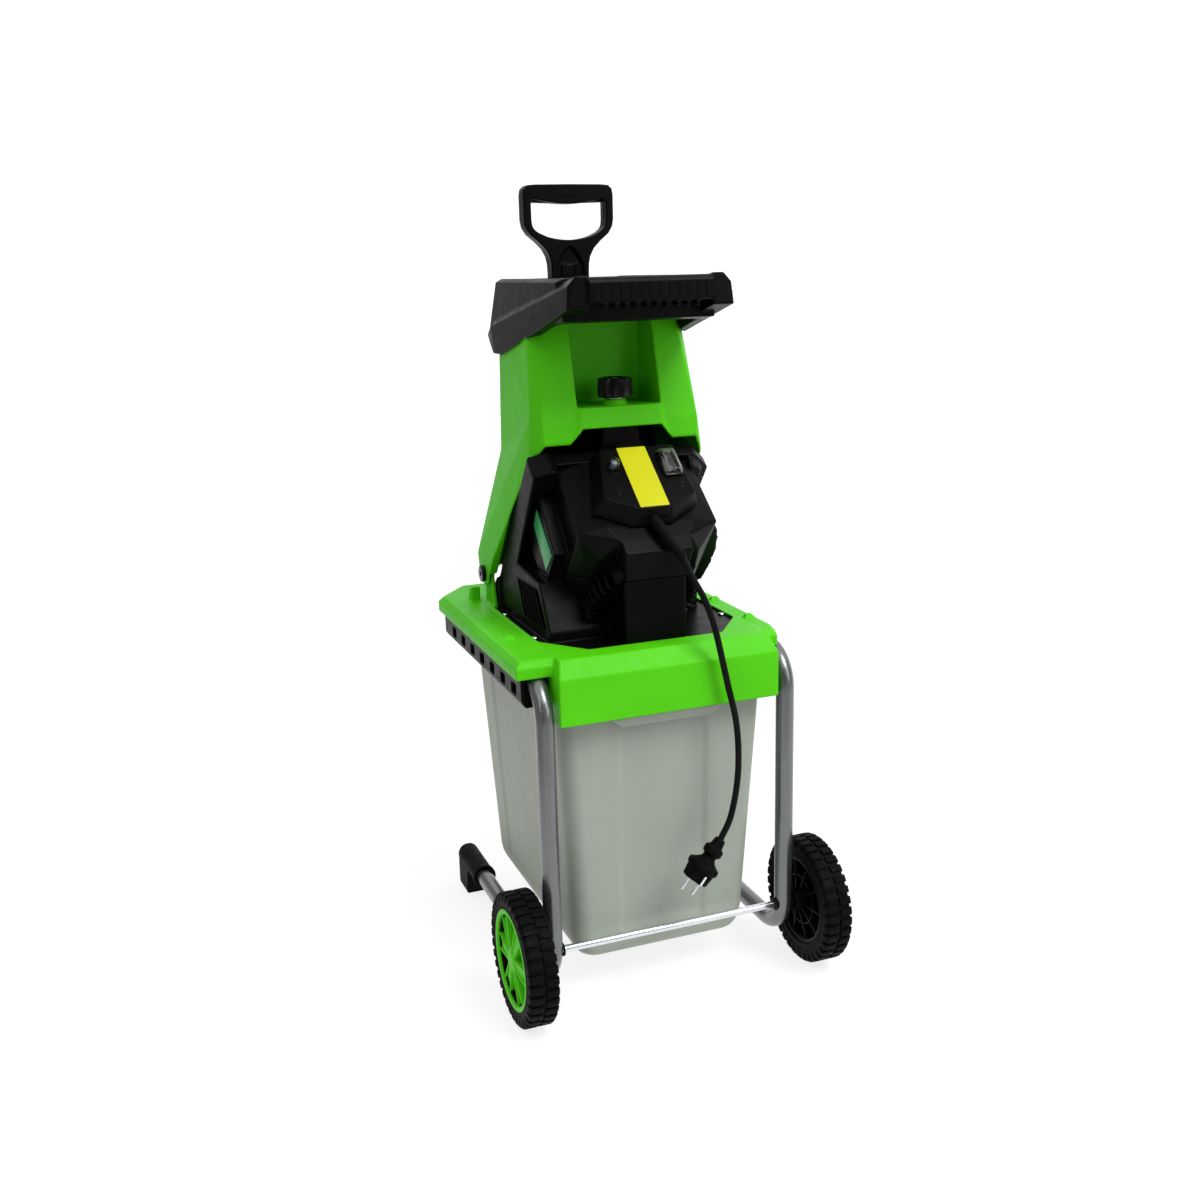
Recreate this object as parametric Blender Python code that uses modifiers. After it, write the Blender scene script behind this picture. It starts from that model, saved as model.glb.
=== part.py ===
"""Electric garden chipper on a two-wheeled tube frame with a slide-in collection box.

Metres, +Z up.  X runs along the wheel axle, -Y is the wheel side (the rear, with
motor, switch and cord), +Y is the side with the feet.  The origin is on the floor
at the middle of the object's box.  Lengths below are written in millimetres and
scaled once, in P().
"""
import math

import bmesh
import bpy
from mathutils import Matrix, Vector

# ---------------------------------------------------------------- dimensions
MM = 0.001
Y_MID = 201.5          # axle to the middle of the object's box

WHEEL_R = 90.0
WHEEL_IN, WHEEL_OUT = 193.0, 235.0
AXLE_R = 5.0
TUBE_R = 12.5
TUBE_WALL = 1.5
TUBE_X = 173.0
BEND_R = 50.0
RUN_TOP_Z = 460.0      # centre of the tube's upper run
RUN_LOW_Z = 47.0       # centre of the tube's lower run

TOP_Z = 491.0          # top face of the base collar
SKIRT_Z = 406.0        # lower edge of its rear skirt
WALL = 3.0

AXIS_DEG = 39.0        # motor axis below the horizontal, running down to the rear
HUB = (0.0, 224.0, 647.0)   # where the motor axis meets the parting plane
DISC_R = 96.0
PLATE_S = 22.0         # motor side of the cutter chamber's slab
SPLIT_Z = 575.0        # joint between the cutter housing and the motor cover

HINGE_Y, HINGE_Z = 335.0, 537.0
KNOB_Y = 169.0
LEDGE_Z = 792.0
HOPPER_TOP = 905.0
SLOT_Y0, SLOT_Y1 = 320.0, 366.0
PLUNGER_Y = 343.0

GREEN = (0.13, 0.56, 0.012)
BLACK = (0.012, 0.012, 0.013)
GREY = (0.60, 0.63, 0.58)
STEEL = (0.55, 0.56, 0.58)


def P(x, y, z):
    """A point given in millimetres, with y counted from the axle."""
    return Vector((x * MM, (y - Y_MID) * MM, z * MM))


CA, SA = math.cos(math.radians(AXIS_DEG)), math.sin(math.radians(AXIS_DEG))


def M(x, s, t):
    """A point in the motor's frame: s along the axis to the rear, t square to it and up."""
    return P(x + HUB[0], HUB[1] - CA * s - SA * t, HUB[2] - SA * s + CA * t)


# ---------------------------------------------------------------- scene
for o in list(bpy.data.objects):
    bpy.data.objects.remove(o)
scene = bpy.context.scene
parts = bpy.data.collections.new("garden_chipper")
helpers = bpy.data.collections.new("cutters")
scene.collection.children.link(parts)
scene.collection.children.link(helpers)
materials = {}


def material(name, colour, rough=0.5, metal=0.0):
    if name not in materials:
        m = bpy.data.materials.new(name)
        m.use_nodes = True
        b = m.node_tree.nodes["Principled BSDF"]
        b.inputs["Base Color"].default_value = (*colour, 1)
        b.inputs["Roughness"].default_value = rough
        b.inputs["Metallic"].default_value = metal
        materials[name] = m
    return materials[name]


MATS = {
    "green": ("green_plastic", GREEN, 0.45, 0.0),
    "black": ("black_plastic", BLACK, 0.42, 0.0),
    "rubber": ("black_rubber", (0.015, 0.015, 0.015), 0.75, 0.0),
    "bin": ("translucent_white", GREY, 0.5, 0.0),
    "tube": ("silver_paint", (0.5, 0.51, 0.53), 0.35, 0.8),
    "chrome": ("bright_zinc", (0.75, 0.77, 0.8), 0.2, 1.0),
    "steel": ("tool_steel", STEEL, 0.35, 1.0),
    "core": ("lamination_steel", (0.25, 0.24, 0.23), 0.5, 0.9),
    "copper": ("commutator_copper", (0.75, 0.4, 0.2), 0.35, 1.0),
    "yellow": ("yellow_film", (0.9, 0.78, 0.02), 0.4, 0.0),
    "plate": ("green_film", (0.12, 0.42, 0.2), 0.35, 0.0),
    "clear": ("clear_cover", (0.6, 0.62, 0.6), 0.15, 0.0),
    "nylon": ("nylon", (0.7, 0.68, 0.6), 0.5, 0.0),
}


def keep(o, name, mat):
    """Names a finished solid, gives it its material and puts it with the parts."""
    o.name = name
    o.data.name = name
    o.data.materials.clear()
    o.data.materials.append(material(*MATS[mat]))
    for c in list(o.users_collection):
        c.objects.unlink(o)
    parts.objects.link(o)
    if o.type == "MESH":
        o.data.shade_smooth()
        o.data.set_sharp_from_angle(angle=math.radians(32))
    return o


def helper(o):
    for c in list(o.users_collection):
        c.objects.unlink(o)
    helpers.objects.link(o)
    o.hide_render = True
    o.display_type = "WIRE"
    return o


def from_bmesh(bm):
    bmesh.ops.recalc_face_normals(bm, faces=bm.faces)
    me = bpy.data.meshes.new("shape")
    bm.to_mesh(me)
    bm.free()
    o = bpy.data.objects.new("shape", me)
    scene.collection.objects.link(o)
    return o


def hull(points):
    """The convex solid round a set of corner points."""
    bm = bmesh.new()
    for p in points:
        bm.verts.new(p)
    bmesh.ops.convex_hull(bm, input=bm.verts)
    loose = [v for v in bm.verts if not v.link_faces]
    bmesh.ops.delete(bm, geom=loose, context="VERTS")
    bmesh.ops.dissolve_limit(bm, angle_limit=0.002, verts=bm.verts, edges=bm.edges)
    return from_bmesh(bm)


def block(x0, x1, y0, y1, z0, z1, bevel=0.0):
    bm = bmesh.new()
    bmesh.ops.create_cube(bm, size=1.0)
    a, b = P(x0, y0, z0), P(x1, y1, z1)
    for v in bm.verts:
        v.co = Vector((a[i] + (b[i] - a[i]) * (v.co[i] + 0.5) for i in range(3)))
    if bevel:
        bmesh.ops.bevel(bm, geom=bm.edges, offset=bevel * MM, segments=2, affect="EDGES", profile=0.5)
    return from_bmesh(bm)


def rod(a, b, r1, r2=None, sides=24, turn=0.0):
    """A capped cylinder or cone from a to b (world points), radii in millimetres."""
    bm = bmesh.new()
    d = b - a
    q = d.to_track_quat("Z", "Y").to_matrix().to_4x4()
    bmesh.ops.create_cone(bm, cap_ends=True, segments=sides, radius1=r1 * MM,
                          radius2=(r1 if r2 is None else r2) * MM, depth=d.length,
                          matrix=Matrix.Translation((a + b) / 2) @ q @ Matrix.Rotation(turn, 4, "Z"))
    return from_bmesh(bm)


def turned(profile, origin, axis, steps=32, turn=0.0):
    """A profile of (radius, height) in millimetres, run down its outer side, turned about axis."""
    bm = bmesh.new()
    vs = [bm.verts.new((r * MM, 0, h * MM)) for r, h in profile]
    closed = profile[0][0] > 0 or profile[-1][0] > 0
    n = len(vs)
    for i in range(n if closed else n - 1):
        bm.edges.new((vs[i], vs[(i + 1) % n]))
    me = bpy.data.meshes.new("profile")
    bm.to_mesh(me)
    bm.free()
    o = bpy.data.objects.new("turned", me)
    scene.collection.objects.link(o)
    m = o.modifiers.new("Screw", "SCREW")
    m.steps = m.render_steps = steps
    m.use_merge_vertices = True
    m.merge_threshold = 0.00001
    q = Vector(axis).to_track_quat("Z", "Y").to_matrix().to_4x4()
    return applied(o, Matrix.Translation(origin) @ q @ Matrix.Rotation(turn, 4, "Z"))


def applied(o, matrix=None):
    """The object as a plain mesh object with its modifiers applied and normals outward."""
    dg = bpy.context.evaluated_depsgraph_get()
    me = bpy.data.meshes.new_from_object(o.evaluated_get(dg))
    me.transform(o.matrix_world if matrix is None else matrix)
    bm = bmesh.new()
    bm.from_mesh(me)
    bmesh.ops.remove_doubles(bm, verts=bm.verts, dist=1e-6)
    bmesh.ops.recalc_face_normals(bm, faces=bm.faces)
    bm.to_mesh(me)
    bm.free()
    made = bpy.data.objects.new("shape", me)
    scene.collection.objects.link(made)
    bpy.data.objects.remove(o)
    return made


def combine(o, others, operation):
    """Joins or cuts o with the others, one Boolean after another."""
    for other in others if isinstance(others, (list, tuple)) else [others]:
        m = o.modifiers.new("Boolean", "BOOLEAN")
        m.solver = "EXACT"
        m.operation = operation
        m.object = other
        bpy.context.view_layer.update()
        o = applied(o)
        bpy.data.objects.remove(other)
    return o


def join(o, *others):
    return combine(o, list(others), "UNION")


def cut(o, *others):
    return combine(o, list(others), "DIFFERENCE")


def common(o, *others):
    return combine(o, list(others), "INTERSECT")


def copy_of(o):
    c = o.copy()
    c.data = o.data.copy()
    scene.collection.objects.link(c)
    return c


def pipe(points, r, sides=16, caps=True, wall=0.0):
    """A round bar or tube along a poly line of world points."""
    cu = bpy.data.curves.new("path", "CURVE")
    cu.dimensions = "3D"
    cu.bevel_depth = r * MM
    cu.bevel_resolution = sides // 4 - 1 if sides >= 8 else 0
    cu.use_fill_caps = caps
    sp = cu.splines.new("POLY")
    sp.points.add(len(points) - 1)
    for i, p in enumerate(points):
        sp.points[i].co = (*p, 1)
    o = bpy.data.objects.new("path", cu)
    scene.collection.objects.link(o)
    if wall:
        m = o.modifiers.new("Solidify", "SOLIDIFY")
        m.thickness = wall * MM
        m.offset = -1
        m.use_even_offset = True
    bpy.context.view_layer.update()
    made = applied(o)
    return made


def outline(points2d, matrix, half):
    """A flat outline as a filled 2D curve, half its thickness each way, placed by matrix."""
    cu = bpy.data.curves.new("outline", "CURVE")
    cu.dimensions = "2D"
    cu.fill_mode = "BOTH"
    cu.extrude = half * MM
    loops = points2d if isinstance(points2d[0][0], (list, tuple)) else [points2d]
    for loop in loops:
        sp = cu.splines.new("POLY")
        sp.points.add(len(loop) - 1)
        for i, p in enumerate(loop):
            sp.points[i].co = (p[0] * MM, p[1] * MM, 0, 1)
        sp.use_cyclic_u = True
    o = bpy.data.objects.new("outline", cu)
    scene.collection.objects.link(o)
    bpy.context.view_layer.update()
    return applied(o, matrix)


def yz_plate(points, x0, x1):
    """An outline of (y, z) points, thick from x0 to x1."""
    mid = (x0 + x1) / 2
    m = Matrix.Translation(P(mid, Y_MID, 0)) @ Matrix(((0, 0, 1, 0), (1, 0, 0, 0), (0, 1, 0, 0), (0, 0, 0, 1)))
    return outline([(y - Y_MID, z) for y, z in points], m, abs(x1 - x0) / 2)


def mirrored(points):
    """Points at +x and at -x."""
    return [p for q in points for p in (P(q[0], q[1], q[2]), P(-q[0], q[1], q[2]))]


def mirror_x(o):
    """A copy of o on the other side of the machine."""
    c = copy_of(o)
    c.data.transform(Matrix.Scale(-1, 4, (1, 0, 0)))
    c.data.flip_normals()
    return c


def sections(levels, inset=0.0):
    """Half outlines [(x, y), ...] by height, as corner points; inset moves them in."""
    pts = []
    for z, ring in levels:
        cy = sum(y for _, y in ring) / len(ring)
        for x, y in ring:
            sx = max(x - inset, 0)
            sy = y - math.copysign(inset, y - cy)
            pts += [P(sx, sy, z), P(-sx, sy, z)]
    return pts


# ---------------------------------------------------------------- frame tubes
def tube_path(x, extra=0.0):
    """Upper run, rear bend, upright, lower bend and lower run of one side frame."""
    pts = [P(x, 428 + extra, RUN_TOP_Z)]
    n = 5
    for i in range(n + 1):
        a = math.radians(90 * i / n)
        pts.append(P(x, BEND_R - BEND_R * math.sin(a), RUN_TOP_Z - BEND_R + BEND_R * math.cos(a)))
    for i in range(n + 1):
        a = math.radians(90 * i / n)
        pts.append(P(x, BEND_R - BEND_R * math.cos(a), RUN_LOW_Z + BEND_R - BEND_R * math.sin(a)))
    pts.append(P(x, 430, RUN_LOW_Z))
    return pts


for side, name in ((-1, "left"), (1, "right")):
    tube = pipe(tube_path(side * TUBE_X), TUBE_R, 12, caps=False, wall=TUBE_WALL)
    tube = cut(tube, rod(P(side * 150, 0, WHEEL_R), P(side * 196, 0, WHEEL_R), AXLE_R + 0.35, sides=16))
    keep(tube, "frame_tube_" + name, "tube")

keep(rod(P(-228.5, 0, WHEEL_R), P(228.5, 0, WHEEL_R), AXLE_R, sides=16), "wheel_axle", "chrome")

# ---------------------------------------------------------------- wheels
W = WHEEL_OUT - WHEEL_IN
# heights run from the inner face (0) to the outer face (W)
wheel_profile = [
    (AXLE_R + 0.4, W - 11), (15, W - 11), (15, W - 14), (62, W - 14), (68, W - 2), (83, W - 1),
    (WHEEL_R, W - 8), (WHEEL_R, 8), (83, 1), (68, 1), (64, 12), (17, 12), (14, -6.5), (AXLE_R + 0.4, -6.5),
]
cap_profile = [(3.0, W - 1.5), (14, W - 1.5), (22, W - 7.5), (54, W - 7.5), (60, W - 2.4), (66.5, W - 2.4),
               (61.4, W - 13.4), (15.4, W - 13.4), (15.4, W - 5.6), (3.0, W - 5.6)]
for side, name in ((-1, "left"), (1, "right")):
    at = P(side * WHEEL_IN, 0, WHEEL_R)
    keep(turned(wheel_profile, at, (side, 0, 0), 32), "wheel_" + name, "rubber")
    cap = turned(cap_profile, at, (side, 0, 0), 30)
    windows = []
    for k in range(6):
        a = math.radians(60 * k + 30)
        c = at + Vector((side * (W - 10) * MM, 0, 0))
        r0, r1, h0, h1 = 25, 50, math.radians(18), math.radians(22)
        ring = []
        for x in (-8, 8):
            for r, h in ((r0, h0), (r1, h1)):
                for sgn in (-1, 1):
                    ring.append(c + Vector((x * MM, r * MM * math.cos(a + sgn * h), r * MM * math.sin(a + sgn * h))))
        windows.append(hull(ring))
    cap = cut(cap, *windows)
    keep(cap, "hub_cap_" + name, "green")
    keep(turned([(AXLE_R + 0.3, 2.0), (12, 2.0), (12, 0.4), (AXLE_R + 0.3, 0.4)],
                P(side * (WHEEL_OUT - 10), 0, WHEEL_R), (side, 0, 0), 12), "push_nut_" + name, "steel")

# ---------------------------------------------------------------- feet
for side, name in ((-1, "left"), (1, "right")):
    x = side * TUBE_X
    foot = rod(P(x, 338, RUN_LOW_Z), P(x, 436, RUN_LOW_Z), 16.5, sides=24)
    pad = hull([P(x + i * 17, y, 0) for i in (-1, 1) for y in (385, 434)] +
               [P(x + i * 16.2, y, RUN_LOW_Z) for i in (-1, 1) for y in (383, 436)])
    foot = join(foot, pad)
    foot = cut(foot, rod(P(x, 330, RUN_LOW_Z), P(x, 430.5, RUN_LOW_Z), TUBE_R + 0.35, sides=24))
    keep(foot, "foot_" + name, "rubber")

# ---------------------------------------------------------------- base collar
def ring_points(levels):
    return [P(sx * x, y, z) for z, ring in levels for x, y in ring for sx in (-1, 1)]


body = hull(ring_points([
    (434, [(156, -13.5), (156, 478)]),
    (469, [(156, -13.5), (156, 479)]),
    (TOP_Z, [(149, 5), (149, 462)]),
]))
skirt = hull(ring_points([(SKIRT_Z, [(156, -13.5), (156, 26)]), (440, [(156, -13.5), (156, 26)])]))
# wide ledge over the left rail, a narrow one on the right
ledge = hull([P(x, y, z) for z in (466, 482) for x, y in ((-203, 18), (-203, 418), (-156, 479), (174, 22), (181, 42), (181, 418), (156, 479))] +
             [P(x, y, 488.5) for x, y in ((-197, 24), (-197, 413), (-150, 470), (169, 28), (175.5, 46), (175.5, 413), (150, 470))])
collar = join(body, skirt, ledge)
collar = cut(
    collar,
    hull(ring_points([(400, [(153, -10.5), (153, 476)]), (468, [(153, -10.5), (153, 476)]),
                      (TOP_Z - 3.5, [(147.5, 4), (147.5, 461)])])),
    hull([P(x, y, z) for z in (460, 480) for x, y in ((157, 25), (171, 25), (178, 44), (178, 416), (157, 471))] +
         [P(x, y, 485.3) for x, y in ((157, 31), (167, 31), (172.5, 48), (172.5, 411), (157, 460))]),
    hull([P(-x, y, z) for z in (460, 480) for x, y in ((157, 21.5), (200, 21.5), (200, 416), (157, 471))] +
         [P(-x, y, 485.3) for x, y in ((157, 27), (194.5, 27), (194.5, 411), (157, 460))]),
)
OPENING = [(95.5, 37), (145, 102), (145, 306), (135, 314), (135, 362), (105, 386)]
collar = cut(collar, outline([(x, y - Y_MID) for x, y in OPENING] + [(-x, y - Y_MID) for x, y in reversed(OPENING)],
                             Matrix.Translation(Vector((0, 0, 490 * MM))), 12))
for side in (-1, 1):
    collar = cut(collar, pipe(tube_path(side * TUBE_X, 20)[:8], TUBE_R + 0.7, 12))
    ear = join(hull([P(side * x, y, z) for x in (139.2, 144.4) for y, z in ((306, 487.8), (353, 487.8), (353, 530), (317, 530))]),
               rod(P(side * 139.2, HINGE_Y, HINGE_Z), P(side * 144.4, HINGE_Y, HINGE_Z), 17.5, sides=18))
    stop = hull([P(side * x, y, z) for x in (151.8, 166) for y, z in ((356, 485), (380, 485), (356, 512), (366, 512))])
    collar = join(collar, ear, stop)
    collar = cut(collar, rod(P(side * 130, HINGE_Y, HINGE_Z), P(side * 150, HINGE_Y, HINGE_Z), 6.35, sides=14))
    for y in (135, 245) if side < 0 else (92, 203):
        x0 = 168 if side < 0 else 157
        collar = join(collar, hull([P(side * (x0 + a), y + d, 487) for a in (0, 18) for d in (-9, 9)] +
                                   [P(side * (x0 + a), y + d, 493) for a in (4, 14) for d in (-4, 4)]))
# slot for the box lock in the front wall
collar = cut(collar, block(-16.5, 16.5, 470, 486, 428, 459))
keep(collar, "base_collar", "green")

# ---------------------------------------------------------------- side rails
for side, name in ((-1, "left"), (1, "right")):
    y0 = 30 if side < 0 else 72
    rail = hull([P(side * x, y, z) for x, y, z in (
        (158, y0, 424), (188, y0, 424), (193, y0, 432), (193, y0, 465), (158, y0, 465),
        (158, 426, 424), (188, 426, 424), (193, 420, 432), (193, 420, 465), (158, 426, 465))])
    lip = block(*sorted((side * 151.5, side * 160)), y0 + 4, 424, 418.5, 426.5)
    rail = join(rail, lip)
    rail = cut(rail, pipe(tube_path(side * TUBE_X, 40)[:8], TUBE_R + 0.4, 12),
               block(*sorted((side * (TUBE_X - TUBE_R - 0.4), side * (TUBE_X + TUBE_R + 0.4))), 20, 460, RUN_TOP_Z, 470))
    pockets = [hull([P(side * x, y + d, z) for x in (186, 200) for d in (0, 26) for z in (429, 443)])
               for y in (60, 128, 196, 264, 332) if y > y0 + 8]
    rail = cut(rail, *pockets)
    keep(rail, "side_rail_" + name, "black")

# ---------------------------------------------------------------- cutter housing
SLAB = [(112, 110), (134, 104), (134, -84), (112, -107)]     # half outline (x, t)


def slab(s0, s1, ring, inset=0.0):
    pts = []
    for s in (s0, s1):
        for x, t in ring:
            tt = t - math.copysign(inset, t)
            pts += [M(x - inset, s, tt), M(inset - x, s, tt)]
    return hull(pts)


# drum of the motor, by its (x, t) half outline at three stations along the axis
DRUM = [
    (PLATE_S, [(62, 111), (99, 98), (99, -36), (60, -95)]),
    (134, [(62, 109), (99, 97), (99, -36), (60, -95)]),
    (181, [(48, 102), (80, 62), (84, 20), (78, -34), (48, -72)]),
]


def drum(inset=0.0, ends=(0.0, 0.0)):
    pts = []
    for i, (s, ring) in enumerate(DRUM):
        s += ends[0] if i == 0 else (-ends[1] if i == len(DRUM) - 1 else 0)
        for x, t in ring:
            tt = t - math.copysign(inset, t) * (1 if abs(t) > 25 else 0)
            pts += [M(x - inset, s, tt), M(inset - x, s, tt)]
    return hull(pts)


def side_pod(side, inset=0.0):
    """The long box on each side of the motor, its top falling to the rear."""
    i = inset
    return hull([M(side * x, s, t) for x in (96, 120 - i) for s, t in (
        (34 + i, 66 - i), (124 - i, 50.5 - i), (34 + i, -16 + i), (124 - i, -28 + i))])


BELOW = lambda: block(-200, 200, -60, 500, 487, SPLIT_Z)
# lower block: reaches back to the vent panel on the left, stops beside the discharge on the right
LOWER = [(130.5, 94, 484), (130.5, 94, 501), (132, 131, 563), (134, 236, 563), (134, 276, 580), (134, 350.5, 489), (134, 350.5, 484)]
lower = join(hull([P(x, y, z) for a, y, z in LOWER for x in (-a, 56)]),
             hull([P(x, max(y, 190), z) for a, y, z in LOWER for x in (50, a)]))
lower_drum = common(join(drum(), side_pod(-1), side_pod(1)), BELOW())
support = block(-44, 44, 38.5, 140, 484, SPLIT_Z)
deck_ring = [(99, 28), (147, 98), (147, 392)]
deck = outline([(x, y - Y_MID) for x, y in deck_ring] + [(-x, y - Y_MID) for x, y in reversed(deck_ring)],
               Matrix.Translation(Vector((0, 0, 484 * MM))), 3)
housing = join(slab(0, PLATE_S, SLAB), lower, lower_drum, support, deck)
for side in (-1, 1):        # deep side rims of the slab
    housing = join(housing, hull([M(side * x, s, t) for x in (126.5, 134) for s, t in ((0, 104), (37, 104), (50, -75), (0, -84))]))
housing = cut(
    housing,
    slab(-2, 18, SLAB, 3.5),                                                # disc chamber
    hull([P(sx * x, y, z) for sx in (-1, 1) for x, y, z in (                # discharge to the box
        (100, 200, 474), (100, 298, 474), (100, 298, 514), (100, 284, 562), (100, 239, 596))]),
    hull([P(sx * 130, y, z) for sx in (-1, 1) for y, z in ((303, 474), (345, 474), (345, 488), (303, 538))]),   # hollow front toe
)
motor_room = common(join(hull([P(x, y, z) for x in (-127, 52) for y, z in ((102, 490), (192, 490), (216, 558), (136, 558))]), drum(3.2, (3.5, 3.5)), side_pod(-1, 3), side_pod(1, 3),
    block(-41, 41, 41.5, 140, 490, SPLIT_Z + 2)),
    block(-200, 200, -60, 500, 490, SPLIT_Z + 2))
# the room stops at the wall between motor and discharge
motor_room = cut(motor_room, hull([P(sx * 140, y, z) for sx in (-1, 1) for y, z in (
    (194, 470), (320, 470), (320, 600), (234, 600))]))
housing = cut(housing, motor_room)
housing = join(housing, rod(M(0, 17, 0), M(0, 33, 0), 20, sides=24))
housing = cut(housing, rod(M(0, 20, 0), M(0, 40, 0), 14.35, sides=24), rod(M(0, 10, 0), M(0, 22, 0), 9, sides=24))
# knob bracket behind the slab's top edge, slotted to the front so that the bolt swings out
bracket = hull([P(sx * x, y, z) for sx in (-1, 1) for x, y, z in (
    (21, 150, 700), (21, 178, 690), (21, 150, 772), (21, 184, 772), (21, 184, 700))])
bracket = cut(bracket, slab(-30, 18.5, [(140, 104), (140, -104)]))
housing = join(housing, bracket)
housing = cut(housing, hull([P(sx * 4.9, y, z) for sx in (-1, 1) for y in (KNOB_Y - 4.9, 200) for z in (738, 790)]))
# side vent: five slots in the left panel
for k in range(5):
    y = 122 + 15 * k
    housing = cut(housing, hull([P(-x, y + dy + lean, z) for x in (112, 140) for dy in (0, 6)
                                 for z, lean in ((503, 0), (545, 12))]))
housing = cut(housing, *[rod(P(x, y, 470), P(x, y, 495), 2.3, sides=10) for x in (-140.3, 140.3) for y in (130, 268)])
keep(housing, "cutter_housing", "black")

# ---------------------------------------------------------------- motor cover
cover = common(join(drum(0.0, (0.4, 0)), side_pod(-1), side_pod(1)), block(-200, 200, -100, 400, SPLIT_Z + 0.4, 900))
inner = join(drum(3.2, (-6, 3.5)), side_pod(-1, 3), side_pod(1, 3))
cover = cut(cover, inner)
# curved vents round the motor's rear end
for side in (-1, 1):
    for k in range(5):
        a = math.radians(24 + 11 * k)
        r0, r1 = 52, 74
        cover = cut(cover, hull([M(side * r * math.cos(a + w), s, r * math.sin(a + w) * 0.9)
                                 for r in (r0, r1) for w in (-0.045, 0.045) for s in (150, 190)]))
# the label's channel keeps a flat top under the switch box
keep(cover, "motor_cover", "black")

# ---------------------------------------------------------------- switch box
BOX_TOP = 138.0
TOP_RING = [(24, -43), (111, -64), (132, -24), (132, 24), (111, 64), (24, 61)]      # (s, x) of its top face
LOW_RING = [(14, -50), (112, -76), (140, -29), (140, 29), (112, 76), (14, 70)]
outer = hull([M(x, s, BOX_TOP) for s, x in TOP_RING] + [M(x, s, 112.4) for s, x in LOW_RING])
inner = hull([M(x - math.copysign(2.6, x), s + (3 if s < 50 else -3), BOX_TOP - 3) for s, x in TOP_RING] +
             [M(x - math.copysign(2.2, x), s + (2 if s < 50 else -2), 108) for s, x in LOW_RING])
switch_box = cut(outer, inner)
# opening for the rocker and the reset button
SW_X, SW_S = 44.0, 60.0
switch_box = cut(switch_box, hull([M(SW_X + a, SW_S + b, t) for a in (-12.0, 12.0) for b in (-19.5, 19.5) for t in (120, 150)]),
                 rod(M(-36, 59, 125), M(-36, 59, 150), 5.4, sides=20))
keep(switch_box, "switch_box", "black")


def plate_on_box(x0, x1, s0, s1, t0, t1):
    return hull([M(x, s, t) for x in (x0, x1) for s in (s0, s1) for t in (t0, t1)])


keep(plate_on_box(-20.5, 20.5, 25, 131, BOX_TOP + 0.35, BOX_TOP + 1.0), "label_plate", "yellow")
frame_ring = cut(plate_on_box(SW_X - 13, SW_X + 13, SW_S - 22, SW_S + 22, BOX_TOP + 0.35, BOX_TOP + 3.5),
                 plate_on_box(SW_X - 10, SW_X + 10, SW_S - 16.5, SW_S + 16.5, BOX_TOP - 20, BOX_TOP + 9))
well = cut(plate_on_box(SW_X - 11.6, SW_X + 11.6, SW_S - 19.1, SW_S + 19.1, BOX_TOP - 18, BOX_TOP + 1),
           plate_on_box(SW_X - 10, SW_X + 10, SW_S - 16.5, SW_S + 16.5, BOX_TOP - 15, BOX_TOP + 9))
keep(join(frame_ring, well), "switch_frame", "black")
rocker = hull([M(SW_X + a, SW_S + b, BOX_TOP + c) for a in (-9.4, 9.4)
               for b, c in ((-13.6, -3), (13.6, -3), (-13.6, 5.0), (0, 2.6), (13.6, 0.6), (0, -12))])
keep(rocker, "switch_rocker", "black")
boot = cut(hull([M(SW_X + i * a, SW_S + j * b, BOX_TOP + c) for i in (-1, 1) for j in (-1, 1)
                 for a, b, c in ((12.6, 21.6, 3.9), (11.2, 19.4, 11.5))]),
           hull([M(SW_X + i * a, SW_S + j * b, BOX_TOP + c) for i in (-1, 1) for j in (-1, 1)
                 for a, b, c in ((11.4, 20.4, 3.0), (10.0, 18.2, 10.4))]))
keep(boot, "switch_boot", "clear")
keep(turned([(0.0, 12.0), (3.6, 12.0), (4.4, 11.2), (4.4, -8), (0.0, -8)], M(-36, 59, BOX_TOP), M(0, 0, 1) - M(0, 0, 0), 20),
     "reset_button", "black")
keep(turned([(5.6, 4.4), (8.2, 4.4), (9, 3.0), (9, 0.4), (5.6, 0.4)], M(-36, 59, BOX_TOP), M(0, 0, 1) - M(0, 0, 0), 20),
     "reset_nut", "chrome")
# plate on the motor's left side, bare
keep(hull([M(x, s, t) for x in (-120.35, -121.1) for s, t in ((41, 47.5), (119.5, 42.5), (115, 6.5), (45, 19))]),
     "rating_plate", "plate")

# ---------------------------------------------------------------- motor
A = lambda s: M(0, s, 0)
ax = tuple((A(1) - A(0)) / MM)


def on_axis(profile, steps=24):
    """Turned about the motor axis; heights are s."""
    return turned(profile, A(0), ax, steps)


keep(on_axis([(11.35, 140), (47, 140), (47, PLATE_S + 0.4), (20.5, PLATE_S + 0.4), (20.5, 34), (33, 34), (33, 134), (11.35, 134)], 24),
     "motor_stator", "core")
keep(on_axis([(6.3, 28.5), (14, 28.5), (14, 20.4), (6.3, 20.4)], 24), "front_bearing", "steel")
keep(on_axis([(6.3, 141), (11, 141), (11, 133), (6.3, 133)], 24), "rear_bearing", "steel")
keep(on_axis([(0, 156), (6, 156), (6, -4), (0, -4)], 16), "rotor_shaft", "steel")
keep(on_axis([(6.3, 106), (31, 106), (31, 48), (6.3, 48)], 24), "armature_core", "core")
keep(on_axis([(6.3, 130), (15, 130), (15, 112), (6.3, 112)], 24), "commutator", "copper")
fan = on_axis([(6.3, 152), (14, 152), (14, 150), (40, 146), (40, 144), (6.3, 144)], 24)
keep(fan, "cooling_fan", "nylon")

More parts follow.
